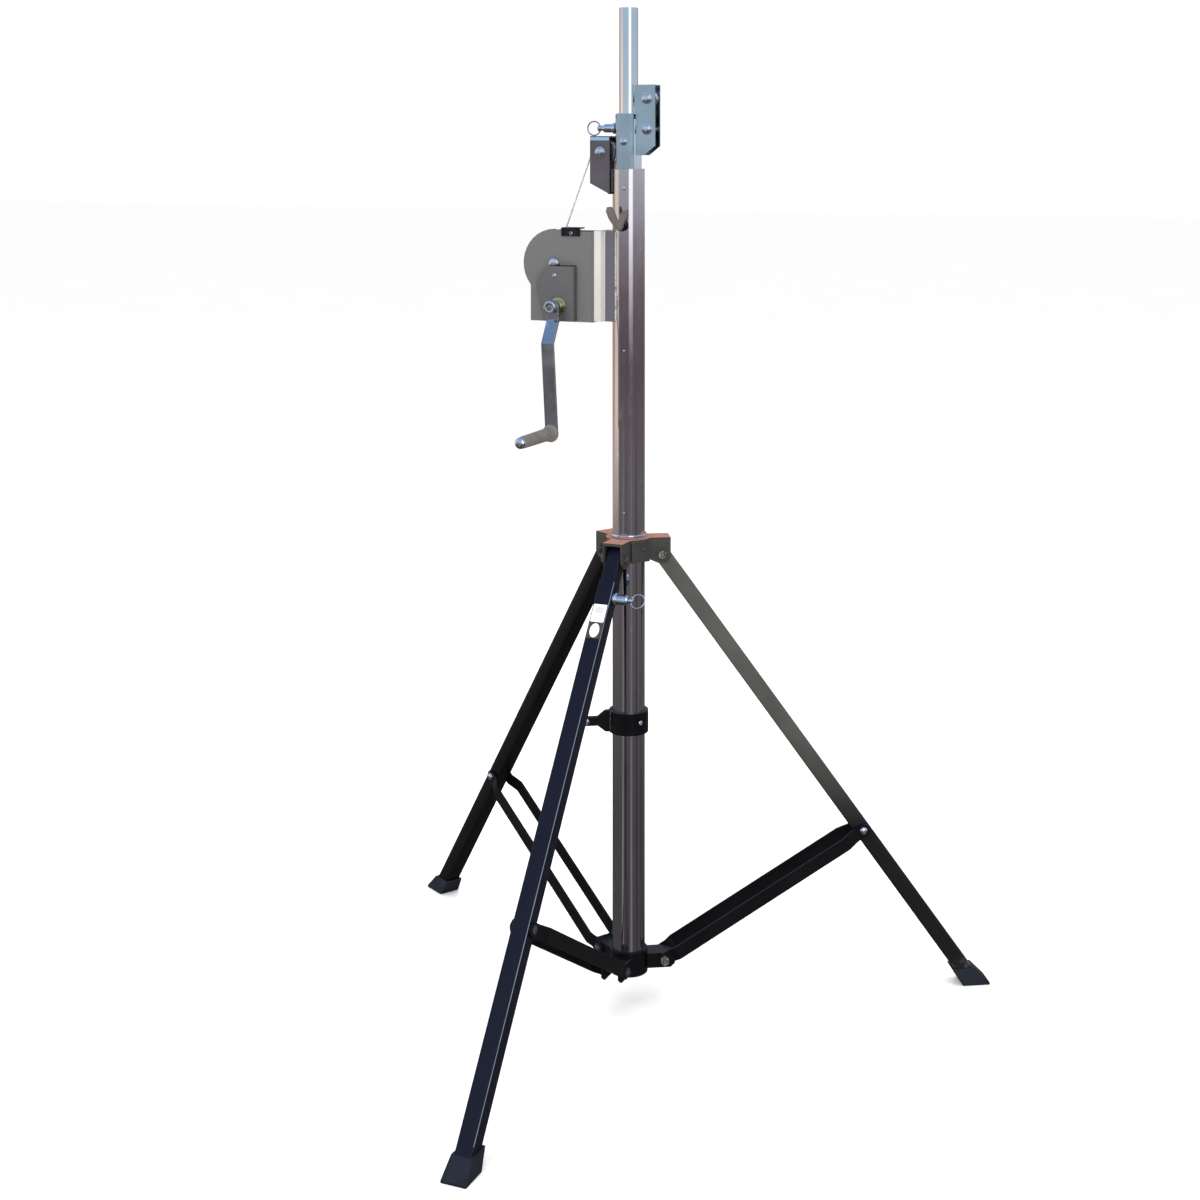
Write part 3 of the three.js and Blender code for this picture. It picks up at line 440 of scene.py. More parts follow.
def piece(name, bm, body, finish, replaces=(), matrix=None, bevel=0.0, segments=2, sharp=38):
    """Puts a mesh drawn in mm on a body of the frame, with its finish."""
    if matrix is not False:
        bmesh.ops.transform(bm, matrix=PLACE @ (matrix or Matrix()), verts=bm.verts)
    bmesh.ops.recalc_face_normals(bm, faces=bm.faces)
    if bevel:
        bevel_edges(bm, bevel, segments)
    mesh = bpy.data.meshes.new(name)
    bm.to_mesh(mesh)
    bm.free()
    mesh.polygons.foreach_set("use_smooth", [True] * len(mesh.polygons))
    mesh.set_sharp_from_angle(angle=rad(sharp))
    obj = bpy.data.objects.new(name, mesh)
    bpy.context.scene.collection.objects.link(obj)
    mesh.materials.append(M[finish])
    if bevel:
        flat = obj.modifiers.new("flat_faces", "WEIGHTED_NORMAL")
        flat.weight = 80
        flat.keep_sharp = True
    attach(obj, body)
    nodes = [replaces] if isinstance(replaces, str) else list(replaces)
    if nodes:
        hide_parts(*nodes)
    return obj


def eased(node, finish, bevel=0.7, segments=2, name=None, sharp=38):
    """The CAD node's own shape with its facets merged and its edges eased."""
    bm = bmesh.new()
    bm.from_mesh(NODES[node].data)
    bmesh.ops.remove_doubles(bm, verts=bm.verts, dist=2e-6)
    bmesh.ops.dissolve_limit(bm, angle_limit=rad(0.6), verts=bm.verts, edges=bm.edges)
    return piece(name or node + "_eased", bm, NODES[node]["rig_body"], finish, node, False, bevel, segments,
        sharp)


def dome_head(r, h):
    return lathe(fillet([(0, 0), (r, 0), (r, h * 0.35), (r * 0.86, h * 0.75), (r * 0.45, h * 0.97), (0, h)],
        0.6, False), 40)


def lathe_hex(r, h, bore):
    """A hexagon nut across corners 2r, chamfered on its outer face."""
    bm = bmesh.new()
    steps, rings = 48, []
    flat = r * math.cos(rad(30))
    for z, limit in ((0, r), (h * 0.82, r), (h, flat * 0.97)):
        ring = []
        for i in range(steps):
            a = 2 * math.pi * i / steps
            hex_r = flat / math.cos((a + rad(30)) % rad(60) - rad(30))
            rr = min(hex_r, limit)
            ring.append(bm.verts.new((rr * math.cos(a), rr * math.sin(a), z)))
        rings.append(ring)
    for z in (h, 0):
        rings.append([bm.verts.new((bore * math.cos(2 * math.pi * i / steps),
            bore * math.sin(2 * math.pi * i / steps), z)) for i in range(steps)])
    for a, b in zip(rings, rings[1:] + rings[:1]):
        for i in range(steps):
            j = (i + 1) % steps
            bm.faces.new((a[i], a[j], b[j], b[i]))
    return bm


def thread(r, z0, z1, pitch=1.25, depth=0.55):
    """A threaded rod end, drawn as close rings of V grooves with a chamfered tip."""
    profile, z = [(0, z0), (r - depth, z0)], z0
    while z + pitch <= z1 - 1:
        profile += [(r - depth, z + 0.1), (r, z + pitch * 0.5)]
        z += pitch
    profile += [(r - depth, z + 0.1), (r - depth - 0.6, z1), (0, z1)]
    return lathe(profile, 32)


def rounded_square(side, radius, steps=5):
    h, out = side / 2, []
    for cx, cy, start in ((1, 1, 0), (-1, 1, 90), (-1, -1, 180), (1, -1, 270)):
        for k in range(steps + 1):
            a = rad(start + 90 * k / steps)
            out.append(((h - radius) * cx + radius * math.cos(a), (h - radius) * cy + radius * math.sin(a)))
    return out


def square_tube(side, wall, z0, z1, radius=3.0, stations=1):
    """Square tube with rounded corners and slightly rolled ends."""
    outer, inner = rounded_square(side, radius), rounded_square(side - 2 * wall, max(0.8, radius - wall))
    n, bm, rings = len(outer), bmesh.new(), []
    lip = 0.4
    levels = [(outer, z0 + lip, 0)] + [(outer, z0 + lip + (z1 - z0 - 2 * lip) * k / stations, 0)
        for k in range(1, stations + 1)]
    levels += [(outer, z1, lip), (inner, z1, 0), (inner, z0, 0), (outer, z0, lip)]
    for outline, z, pull in levels:
        f = 1 - 2 * pull / side
        rings.append([bm.verts.new((x * f, y * f, z)) for x, y in outline])
    for a, b in zip(rings, rings[1:] + rings[:1]):
        for i in range(n):
            j = (i + 1) % n
            bm.faces.new((a[i], a[j], b[j], b[i]))
    return bm


def sleeve(outline, bore, z0, z1):
    """A ring of any outline around a bore with as many points."""
    bm, n = bmesh.new(), len(outline)
    loops = ((outline, z0), (outline, z1), (bore, z1), (bore, z0))
    rings = [[bm.verts.new((x, y, z)) for x, y in loop] for loop, z in loops]
    for a, b in zip(rings, rings[1:] + rings[:1]):
        for i in range(n):
            bm.faces.new((a[i], a[(i + 1) % n], b[(i + 1) % n], b[i]))
    return bm


def weld(name, path, radius, body, finish="weld", seed=1.0):
    """A laid weld bead: ripples along a path, uneven in width."""
    step = 0.9
    points = [Vector(path[0])]
    for a, b in zip(path, path[1:]):
        a, b = Vector(a), Vector(b)
        count = max(1, int((b - a).length / step))
        points += [a + (b - a) * (k / count) for k in range(1, count + 1)]
    ripple = 4.2  # mm between one ripple and the next

    def rippled(run):
        uneven = 0.20 * noise.noise((run * 0.12, seed, 0))
        return radius * (0.86 + 0.16 * math.sin(run * 2 * math.pi / ripple) + uneven)

    return piece(name, sweep(points, rippled, 10), body, finish)


def pan_screw(name, r, matrix, body, finish="bolt", slot_width=0.9):
    """A small pan head screw with a cross recess."""
    head = [(r * 0.30, 0.35 * r), (r * 0.62, 0.42 * r), (r, 0.12 * r), (r, -0.25), (0, -0.25)]
    bm = lathe(fillet(head, 0.3, False), 36)
    arm, w = r * 0.52, slot_width / 2
    cross = [(w, w), (arm, w), (arm, -w), (w, -w), (w, -arm), (-w, -arm), (-w, -w), (-arm, -w), (-arm, w),
        (-w, w), (-w, arm), (w, arm)]
    floor = prism(cross, -0.15, 0.02 * r)
    cup = lathe([(r * 0.30, 0.35 * r), (r * 0.24, 0.10 * r), (0, 0.06 * r)], 36)
    return piece(name, merge((bm, Matrix()), (cup, Matrix()), (floor, move(0, 0, 0.1 * r))), body, finish,
        matrix=matrix)


# ---- mast ----------------------------------------------------------------------------------------
piece("outer_tube", pipe(OUTER_R, OUTER_BORE, OUTER_Z0, OUTER_TOP, 160, 0.6), "base", "chrome",
    "mast_outer_tube")
piece("middle_tube", pipe(MIDDLE_R, MIDDLE_BORE, MIDDLE_Z0, MIDDLE_TOP, 144, 0.5), "middle_stage",
    "chrome_bright", "mast_middle_tube")
piece("inner_tube", pipe(INNER_R, INNER_BORE, INNER_Z0, INNER_TOP, 128, 0.5), "inner_stage",
    "chrome_bright", "mast_inner_tube")
piece("outer_tube_bush", pipe(28.2, 24.8, 1498, 1537, 96, 0.6), "base", "nylon", "mast_top_bush")
# the foot bush slides past the rope, which lies in a groove on its winch side
turns = [rad(3 * i) for i in range(120)]
reach = [24.2 if abs(math.degrees(a) - 180) < 6.5 else 28.2 for a in turns]
bush_outline = [(r * math.cos(a), r * math.sin(a)) for r, a in zip(reach, turns)]
bush_bore = [(19 * math.cos(a), 19 * math.sin(a)) for a in turns]
piece("middle_tube_foot_bush", sleeve(bush_outline, bush_bore, 106, 131.7), "middle_stage", "nylon",
    "middle_foot_bush", bevel=0.5)
piece("middle_tube_top_bush", pipe(24.5, 17.8, 1630.3, 1639, 96, 1.6), "middle_stage", "nylon",
    "middle_top_bush")
# dimples where the inner guides are fixed through the outer tube
for i, (height, r) in enumerate(((1502, 3.4), (1203, 2.6), (905, 2.2))):
    spot = lathe([(r, -0.4), (r, 0.15), (r * 0.72, 0.4), (r * 0.3, 0.5), (0, 0.5)], 28)
    piece(f"tube_rivet_{i}", spot, "base", "chrome_bright",
        matrix=turn_z(-84) @ move(29.9, 0, height) @ ALONG_X)

# ---- tripod hub, collar and clamp ----------------------------------------------------------------
eased("tripod_hub", "black", 1.4, 3)
eased("leg_collar", "collar", 0.9, 3)
seat_ring = fillet([(30.6, 858.3), (33.5, 858.3), (33.5, 864.8), (30.6, 864.8)], 1.3)
piece("collar_seat_ring", lathe(seat_ring, 128, True), "collar", "chrome_bright", "collar_ring")
for i, direction in enumerate((-30, 90, 210)):
    web = prism([(34.5, -21), (37.5, -21), (37.5, 21), (34.5, 21)], 815, 853)
    piece(f"collar_web_{i}", web, "collar", "collar", matrix=turn_z(direction), bevel=0.8)
    piece(f"collar_web_bolt_{i}", dome_head(4.2, 2.2), "collar", "dark_bolt",
        matrix=turn_z(direction) @ move(37.4, 6, 838) @ ALONG_X)
eased("stop_clamp", "black", 1.3, 3)
clamp_arm = turn_z(210) @ move(80, 0, 518)
clamp_bolt = ((lathe([(0, -6), (4, -6), (4, 6), (0, 6)], 32), Matrix()),
    (dome_head(7, 4.4), move(0, 0, 5.3)),
    (lathe_hex(7, 4.7, 3.0), move(0, 0, -5.3) @ FLIPPED))
piece("clamp_bolt", merge(*clamp_bolt), "base", "bolt", "stop_clamp_bolt", matrix=clamp_arm @ ALONG_Y)
pan_screw("clamp_set_screw", 4.6, turn_z(-30) @ move(36.5, 0, 520) @ ALONG_X, "base")
hub_seam = [(30.9 * math.cos(rad(a)), 30.9 * math.sin(rad(a)), 98.3) for a in range(0, 361, 6)]
weld("hub_weld", hub_seam, 1.7, "base", "black", 4.0)


def through_bolt(name, node, out, x, z, half, body):
    """A bolt across an arm: dome head and washer, shank, and a chamfered nut with the thread's end."""
    shank = [(0, -half), (5, -half), (5, half + 0.2), (0, half + 0.2)]
    washer = [(5, half + 0.1), (8.5, half + 0.1), (8.5, half + 1.1), (5, half + 1.1)]
    parts = ((lathe(shank, 32), Matrix()),
        (lathe(fillet(washer, 0.3), 40, True), Matrix()),
        (dome_head(7.6, 4.6), move(0, 0, half + 1.1)),
        (lathe_hex(8.4, 6.4, 4.6), move(0, 0, -half - 0.3) @ FLIPPED),
        (thread(4.9, 0, 7.0, 1.2), move(0, 0, -half) @ FLIPPED))
    piece(name, merge(*parts), body, "dark_bolt", node, out @ move(x, 0, z) @ ALONG_Y)


for arm, angle in LEG_DIRECTIONS.items():
    out = turn_z(angle)
    leg = out @ swing
    # the legs share one black paint: the front leg's navy is a painted sky reflection, the right leg's
    # olive is painted light with painted shade below
    paint = {"front": "navy", "right": "olive", "rear": "black"}[arm]
    end = -LEG_LENGTH + 18
    if arm == "front":
        piece("leg_front_inner_tube", square_tube(LEVELLER_INNER, 1.6, -330, 15, 2.2, 6), "leg_front_upper",
            "navy", "leg_front_upper", leg)
        piece("leg_front_outer_tube", square_tube(LEVELLER_OUTER, 1.2, end, -LEVELLER_TOP, 2.4, 14),
            "leg_front_lower", "navy", "leg_front_lower", leg)
        # painted highlight: a thin light strip along one corner of the leg stands in for the reflection on
        # its edge
        painted_edge_highlight = sweep([(14.5, 14.5, end + 24), (14.5, 14.5, -LEVELLER_TOP - 3)], 0.7, 8)
        piece("leg_front_worn_edge", painted_edge_highlight, "leg_front_lower", "painted_arris", matrix=leg)
    else:
        piece(f"leg_{arm}_tube", square_tube(LEG_SIDE, 2, end, 15, 3.0, 14), f"leg_{arm}", paint,
            f"leg_{arm}", leg)
    eased(f"foot_{arm}", "rubber", 2.6, 4)

    through_bolt(f"hinge_bolt_{arm}", f"leg_bolt_{arm}", out, LEG_PIVOT_R, LEG_PIVOT_Z, 19.9, "collar")
    through_bolt(f"hub_bolt_{arm}_set", f"hub_bolt_{arm}", out, HUB_PIVOT_R, HUB_PIVOT_Z, 23.9, "base")

    joint = Vector((LEG_PIVOT_R + BRACE_AT * math.sin(LEG_ANGLE), 0,
        LEG_PIVOT_Z - BRACE_AT * math.cos(LEG_ANGLE)))
    for side, letter in ((1, "a"), (-1, "b")):
        eased(f"brace_{arm}_{letter}", "black", 0.8, 2)
        dome = [(0, 0), (7.3, 0), (7.3, 1.6), (5.6, 3.6), (2.4, 4.5), (0, 4.6)]
        cap = lathe(fillet(dome, 0.5, False), 36)
        flip = Matrix() if side > 0 else Matrix.Rotation(math.pi, 4, "Z")
        piece(f"brace_{arm}_{letter}_rivet", cap, f"brace_{arm}", "dark_bolt" if arm == "front" else "bolt",
            matrix=out @ move(*joint) @ flip @ move(0, 19.5, 0) @ ALONG_Y)

# plain stickers on the front leg, outer face
face = turn_z(-90) @ swing @ move(LEG_SIDE / 2, 0, 0)
onto_face = face @ ALONG_X  # outline X runs up the leg from here, Y across


def sticker(name, along0, along1, width, finish, thick=0.28, lift=0.0, corner=2.0, oval=False):
    if oval:
        cx, hx, hy = (along0 + along1) / 2, (along1 - along0) / 2, width / 2
        outline = [(cx + hx * math.cos(rad(a)), hy * math.sin(rad(a))) for a in range(0, 360, 10)]
    else:
        outline = fillet([(along0, -width / 2), (along1, -width / 2), (along1, width / 2),
            (along0, width / 2)], corner)
    return piece(name, prism(outline, lift + 0.03, lift + thick), "leg_front_lower", finish,
        matrix=onto_face, bevel=0.06)


sticker("sticker_upper", 94, 127.3, 26, "label")
sticker("sticker_upper_panel", 99, 111, 18, "label_grey", 0.34, 0.25)
sticker("sticker_lower", 127.6, 158, 26, "label_dark")
sticker("sticker_lower_oval", 130, 156, 18, "label", 0.34, 0.25, oval=True)


# ---- pull pins -----------------------------------------------------------------------------------
def pull_pin(prefix, barrel_node, pin_node, barrel_body, pin_body, x0, length, r, tip, end, ring_r, finish,
        matrix):
    """A spring pull pin along +X: turned barrel, plunger and wire ring."""
    barrel = lathe(fillet([(4.7, 0), (r + 2.5, 0), (r + 2.5, 5), (r, 7), (r, length - 4), (r - 1.5, length),
        (4.7, length)], 0.6), 64, True)
    piece(prefix + "_barrel", barrel, barrel_body, "bolt", barrel_node, matrix @ move(x0, 0, 0) @ ALONG_X)
    stem = lathe(fillet([(0, tip), (3.2, tip), (4, tip + 1.5), (4, end - 3), (5.6, end - 3), (5.6, end + 3),
        (3.8, end + 3.9), (0, end + 3.9)], 0.5, False), 48)
    circle = [(end + ring_r - 1 + ring_r * math.cos(2 * math.pi * k / 72), 0,
        ring_r * math.sin(2 * math.pi * k / 72)) for k in range(72)]
    piece(prefix + "_plunger", stem, pin_body, "bolt", pin_node, matrix @ ALONG_X)
    piece(prefix + "_wire_ring", sweep(circle, 1.3, 14, True), pin_body, finish, matrix=matrix)


pull_pin("leg_pin", "leg_pin_barrel", "leg_pull_pin", "leg_front_lower", "leg_pin", 15.3, 29, 9.3, 12.8, 50,
    13, "ring_bright", turn_z(-90) @ swing @ move(0, 0, -LEG_PIN_AT) @ turn_z(90))
pull_pin("mast_pin", "mast_pin_barrel", "mast_pull_pin", "middle_stage", "mast_pin", 24.8, 26, 8, 17.8, 58,
    13, "ring", move(0, 0, MAST_PIN_Z) @ turn_z(180))

# ---- sheaves and their housings ------------------------------------------------------------------
eased("lower_sheave_housing", "housing", 0.8, 2)
eased("upper_sheave_housing", "zinc", 0.7, 2)
# painted reflection: a thin sky-blue strip along the top of the housing's front stands in for the sky
# reflected on its rounded top edge
top_edge = prism([(-69.6, -20.1), (-31, -20.1), (-31, -19.6), (-69.6, -19.6)], 1590.5, 1596.5)
piece("housing_top_edge", top_edge, "base", "painted_sky_blue")
eased("lock_channel", "zinc", 0.7, 2)
for which, x, z, body, rim in (("lower", LOWER_SHEAVE_X, LOWER_SHEAVE_Z, "lower_sheave", 25),
        ("upper", UPPER_SHEAVE_X, UPPER_SHEAVE_Z, "upper_sheave", 15.5)):
    groove = [(6.4, -7), (rim, -7), (rim, -5.6), (rim - 4.2, -2.4), (rim - 4.8, 0), (rim - 4.2, 2.4),
        (rim, 5.6), (rim, 7), (6.4, 7)]
    piece(which + "_sheave_wheel", lathe(fillet(groove, 0.6), 96, True), body, "steel", which + "_sheave",
        move(x, 0, z) @ ALONG_Y)


def side_bolt(name, node, x, z, half, body):
    """A bolt through a housing: domed head towards the crank side, nut behind."""
    washer = fillet([(6.1, 0), (10, 0), (10, 1.2), (6.1, 1.2)], 0.3)
    parts = ((lathe([(0, -half), (6, -half), (6, half), (0, half)], 36), Matrix()),
        (lathe(washer, 44, True), move(0, 0, -half) @ FLIPPED),
        (dome_head(8.6, 5.2), move(0, 0, -half - 1.2) @ FLIPPED),
        (lathe_hex(10, 6.0, 5.6), move(0, 0, half)))
    piece(name, merge(*parts), body, "bolt", node, move(x, 0, z) @ ALONG_Y)


side_bolt("lower_sheave_axle", "lower_sheave_bolt", LOWER_SHEAVE_X, LOWER_SHEAVE_Z, 19.8, "base")
side_bolt("upper_sheave_axle", "upper_sheave_bolt", UPPER_SHEAVE_X, UPPER_SHEAVE_Z, 14.3, "middle_stage")
side_bolt("upper_spacer", "upper_spacer_bolt", UPPER_SHEAVE_X, 1611, 14.3, "middle_stage")
channel_washer = lathe(fillet([(0, 0), (7.2, 0), (7.2, 1.2), (0, 1.2)], 0.3, False), 40)
channel_bolt = merge((channel_washer, Matrix()), (dome_head(5.6, 3.2), move(0, 0, 1.1)))
piece("channel_bolt", channel_bolt, "middle_stage", "bolt",
    matrix=move(3.5, -32, 1588) @ ALONG_Y @ FLIPPED)
for side in (-1, 1):
    weld(f"housing_weld_{'ab'[side > 0]}", [(-25.2, side * 18.6, 1495), (-25.2, side * 18.6, 1535)], 1.5,
        "base", "housing", side * 3.0)

# ---- winch ---------------------------------------------------------------------------------------
eased("winch_bracket", "bracket", 0.9, 2)
eased("winch_frame", "winch", 0.8, 2)
eased("rope_guard", "black", 0.5, 2)
eased("winch_gear_cover", "cover", 1.6, 3)
# painted shadow: a thin dark plate just larger than the gear cover, behind it, stands in for the shadow
# around the cover's outline
painted_shadow_outline = [(-89.6, 1255.5), (-89.6, 1358.6), (-139.6, 1358.6), (-153.2, 1350), (-166.4, 1334.6),
    (-169.6, 1318.8), (-153.6, 1255.5)]
piece("winch_cover_gasket", prism([(x, -z) for x, z in painted_shadow_outline], -36.9, -36.2), "base", "black",
    matrix=Matrix.Rotation(rad(90), 4, "X") @ Matrix.Diagonal((1, -1, -1, 1)))
for side in (-1, 1):
    weld(f"bracket_weld_{'ab'[side > 0]}", [(-14.6, side * 26.6, 1258), (-14.6, side * 26.6, 1421)], 2.1,
        "base", seed=side * 7.0)
axle_shank = [(0, -FRAME_HALF - 1), (7, -FRAME_HALF - 1), (7, FRAME_HALF), (0, FRAME_HALF)]
drum_axle = ((lathe(axle_shank, 40), Matrix()),
    (dome_head(10.6, 6.4), move(0, 0, -FRAME_HALF - 0.3) @ FLIPPED),
    (lathe_hex(11, 8.2, 6.2), move(0, 0, FRAME_HALF + 0.3)),
    (thread(6.4, 0, 9.6, 1.5), move(0, 0, FRAME_HALF)))
piece("drum_axle_pin", merge(*drum_axle), "base", "bolt", "drum_axle", move(DRUM_X, 0, DRUM_Z) @ ALONG_Y)
drum_profile = [(7.4, -16), (44, -16), (44, -14), (18.4, -14), (17.4, -13), (17.4, 27), (18.4, 28),
    (44, 28), (44, 30), (7.4, 30)]
piece("rope_drum", lathe(fillet(drum_profile, 0.5), 96, True), "drum", "steel", "winch_drum",
    move(DRUM_X, 0, DRUM_Z) @ ALONG_Y)
eased("drum_gear", "steel", 0.25, 1)
eased("pinion_shaft", "steel", 0.25, 1)
eased("brake_ratchet", "steel", 0.3, 1)
eased("ratchet_pawl", "steel", 0.4, 2)
brake_disc = fillet([(6.4, -51), (15.5, -51), (15.5, -48.3), (6.4, -48.3)], 0.6)
piece("brake_disc", lathe(brake_disc, 72, True), "crank", "yellow", "brake_washer",
    move(SHAFT_X, 0, SHAFT_Z) @ ALONG_Y)
pan_screw("cover_screw", 4.4, move(-130, -48, 1340) @ ALONG_Y @ FLIPPED, "base")
pan_screw("cover_dimple", 2.6, move(-143, -47.9, 1317) @ ALONG_Y @ FLIPPED, "base", "cover")
pan_screw("guard_screw", 4.2, move(-100, -39, 1418) @ ALONG_Y @ FLIPPED, "base", "steel")
for i, x in enumerate((-112, -104)):
    piece(f"guard_rivet_{i}", dome_head(2.4, 1.4), "base", "ring_bright", matrix=move(x, -33, 1429))
weld("frame_seam", [(-58.9, -36.2, 1256), (-58.9, -36.2, 1419)], 0.9, "base", "winch", 2.0)

# crank
eased("crank_arm", "crank", 0.9, 3)
hub_nut = [(6.3, -76.3), (11.4, -76.3), (12, -77.6), (12, -86), (10.6, -88), (6.3, -88)]
piece("crank_hub_nut", lathe(fillet(hub_nut, 0.6), 72, True), "crank", "bolt", "crank_nut",
    on_crank @ ALONG_Y)
shaft_end = [(0, -80), (6.0, -80), (6.0, -85.6), (4.9, -86.8), (0, -87)]
piece("crank_shaft_end", lathe(fillet(shaft_end, 0.4, False), 40), "crank", "steel",
    matrix=on_crank @ ALONG_Y)
grip_axis = on_crank @ move(0, 0, -CRANK_LENGTH) @ ALONG_Y
end_cap = [(0, -229.9), (10.2, -229.9), (10.2, -232.0), (8.8, -234.4), (5.2, -236.4), (0, -237)]
spindle = ((lathe([(0, -94), (4, -94), (4, -228), (0, -228)], 32), Matrix()),
    (lathe_hex(7, 4.4, 3.6), move(0, 0, -97.7)),
    (lathe(fillet(end_cap, 0.7, False), 56), Matrix()))
piece("grip_spindle", merge(*spindle), "crank", "bolt", "grip_bolt", grip_axis)
grip = [(4.3, -104.3), (15.2, -104.3), (16, -105.6), (16, -108), (15, -111.2), (12.6, -114.4), (11.9, -117),
    (11.6, -150), (11.3, -190), (10.9, -222), (10.4, -226), (9.6, -229.7), (4.3, -229.7)]
piece("grip_sleeve", lathe(fillet(grip, 0.9), 72, True), "grip", "grip", "crank_grip", grip_axis)

# wing screw
boss = fillet([(4.4, -41), (9.6, -41), (10, -40), (10, -28.6), (4.4, -28.6)], 0.6)
piece("wing_screw_boss", lathe(boss, 56, True), "base", "black", "wing_nut_boss",
    move(0, 0, WING_Z) @ ALONG_Y)
boss_turns = [rad(a) for a in range(0, 361, 8)]
boss_seam = [(10.4 * math.cos(a), -28.9 + 1.6 * math.cos(a) ** 2, WING_Z + 10.4 * math.sin(a))
    for a in boss_turns]
weld("boss_weld", boss_seam, 1.5, "base", "black", 9.0)
eased("wing_screw", "wing", 2.2, 4)


# ---- wire rope -----------------------------------------------------------------------------------
def rope_route():
    """Turns on the drum, up over the lower sheave and down inside the mast, as the CAD rope runs."""
    drum_r = 17.4 + ROPE_R + 0.9
    between = math.atan2(LOWER_SHEAVE_Z - DRUM_Z, LOWER_SHEAVE_X - DRUM_X)
    distance = math.hypot(LOWER_SHEAVE_Z - DRUM_Z, LOWER_SHEAVE_X - DRUM_X)
    tangent = between + math.acos((drum_r - SHEAVE_R) / distance)
    at = lambda x, z, r, a, y: Vector((x + r * math.cos(a), y, z + r * math.sin(a)))
    steps = 108
    route = [at(DRUM_X, DRUM_Z, drum_r, tangent + 6 * math.pi * (1 - k / steps), 1 + 9 * k / steps)
        for k in range(steps + 1)]
    leave, meet = route[-1], at(LOWER_SHEAVE_X, LOWER_SHEAVE_Z, SHEAVE_R, tangent, 0)
    route += [leave.lerp(meet, k / 240) for k in range(1, 240)]
    route += [at(LOWER_SHEAVE_X, LOWER_SHEAVE_Z, SHEAVE_R, tangent * (1 - k / 48), 0) for k in range(49)]
    top, foot = Vector((ROPE_X, 0, LOWER_SHEAVE_Z)), Vector((ROPE_X, 0, 140))
    route += [top.lerp(foot, k / 60) for k in range(1, 61)]
    return route


piece("wire_rope", sweep(rope_route(), ROPE_R, 18, lobes=6, depth=0.20, pitch=14), "base", "rope",
    "winch_rope", sharp=80)


# ---- floor, light and camera ---------------------------------------------------------------------
VIEW = rad(23)
AIM, SIDE = Vector((math.sin(VIEW), -math.cos(VIEW), 0)), Vector((math.cos(VIEW), math.sin(VIEW), 0))
scene = bpy.context.scene
scene.view_settings.view_transform = "Standard"
camera = bpy.data.objects.new("camera", bpy.data.cameras.new("camera"))
camera.data.lens, camera.data.sensor_width = 56.7, 36
camera.data.shift_x, camera.data.shift_y = -0.0239, -0.3783
camera.location = Vector((0, MAST_Y, 1.58)) + AIM * 3.5
camera.rotation_euler = (math.pi / 2, 0, VIEW)
scene.collection.objects.link(camera)
scene.camera = camera

floor_mesh = bmesh.new()
bmesh.ops.create_grid(floor_mesh, x_segments=2, y_segments=2, size=40)
mesh = bpy.data.meshes.new("floor")
floor_mesh.to_mesh(mesh)
floor_mesh.free()
floor = bpy.data.objects.new("floor", mesh)
scene.collection.objects.link(floor)
floor.location.z = -0.0005
t = finish_material("floor_pale", (0.955, 0.955, 0.955), (0.975, 0.975, 0.975), 0.0, (0.8, 0.9), patches=2,
    grain=60, bump=0.02)
t.bsdf.inputs["Specular IOR Level"].default_value = 0.1
mesh.materials.append(t.material)
floor.visible_glossy = False


def softbox(name, place, target, size, power, colour=(1, 1, 1)):
    light = bpy.data.lights.new(name, "AREA")
    light.shape, light.size, light.energy, light.color = "SQUARE", size, power, colour
    obj = bpy.data.objects.new(name, light)
    obj.location = place
    obj.rotation_euler = (Vector(target) - Vector(place)).to_track_quat("-Z", "Y").to_euler()
    obj.visible_camera = False
    obj.visible_glossy = False
    scene.collection.objects.link(obj)
    return obj


MID = Vector((0, MAST_Y, 0.9))
softbox("key", MID + AIM * 3.2 - SIDE * 2.2 + Vector((0, 0, 2.6)), MID, 2.2, 90)
softbox("fill", MID + AIM * 2.4 + SIDE * 3.4 + Vector((0, 0, 1.6)), MID, 2.4, 40)
softbox("top", MID + Vector((0, 0, 4.2)), MID, 4.0, 60).data.cycles.cast_shadow = False
softbox("back", MID - AIM * 3.4 + SIDE * 0.6 + Vector((0, 0, 2.4)), MID, 2.4, 30)


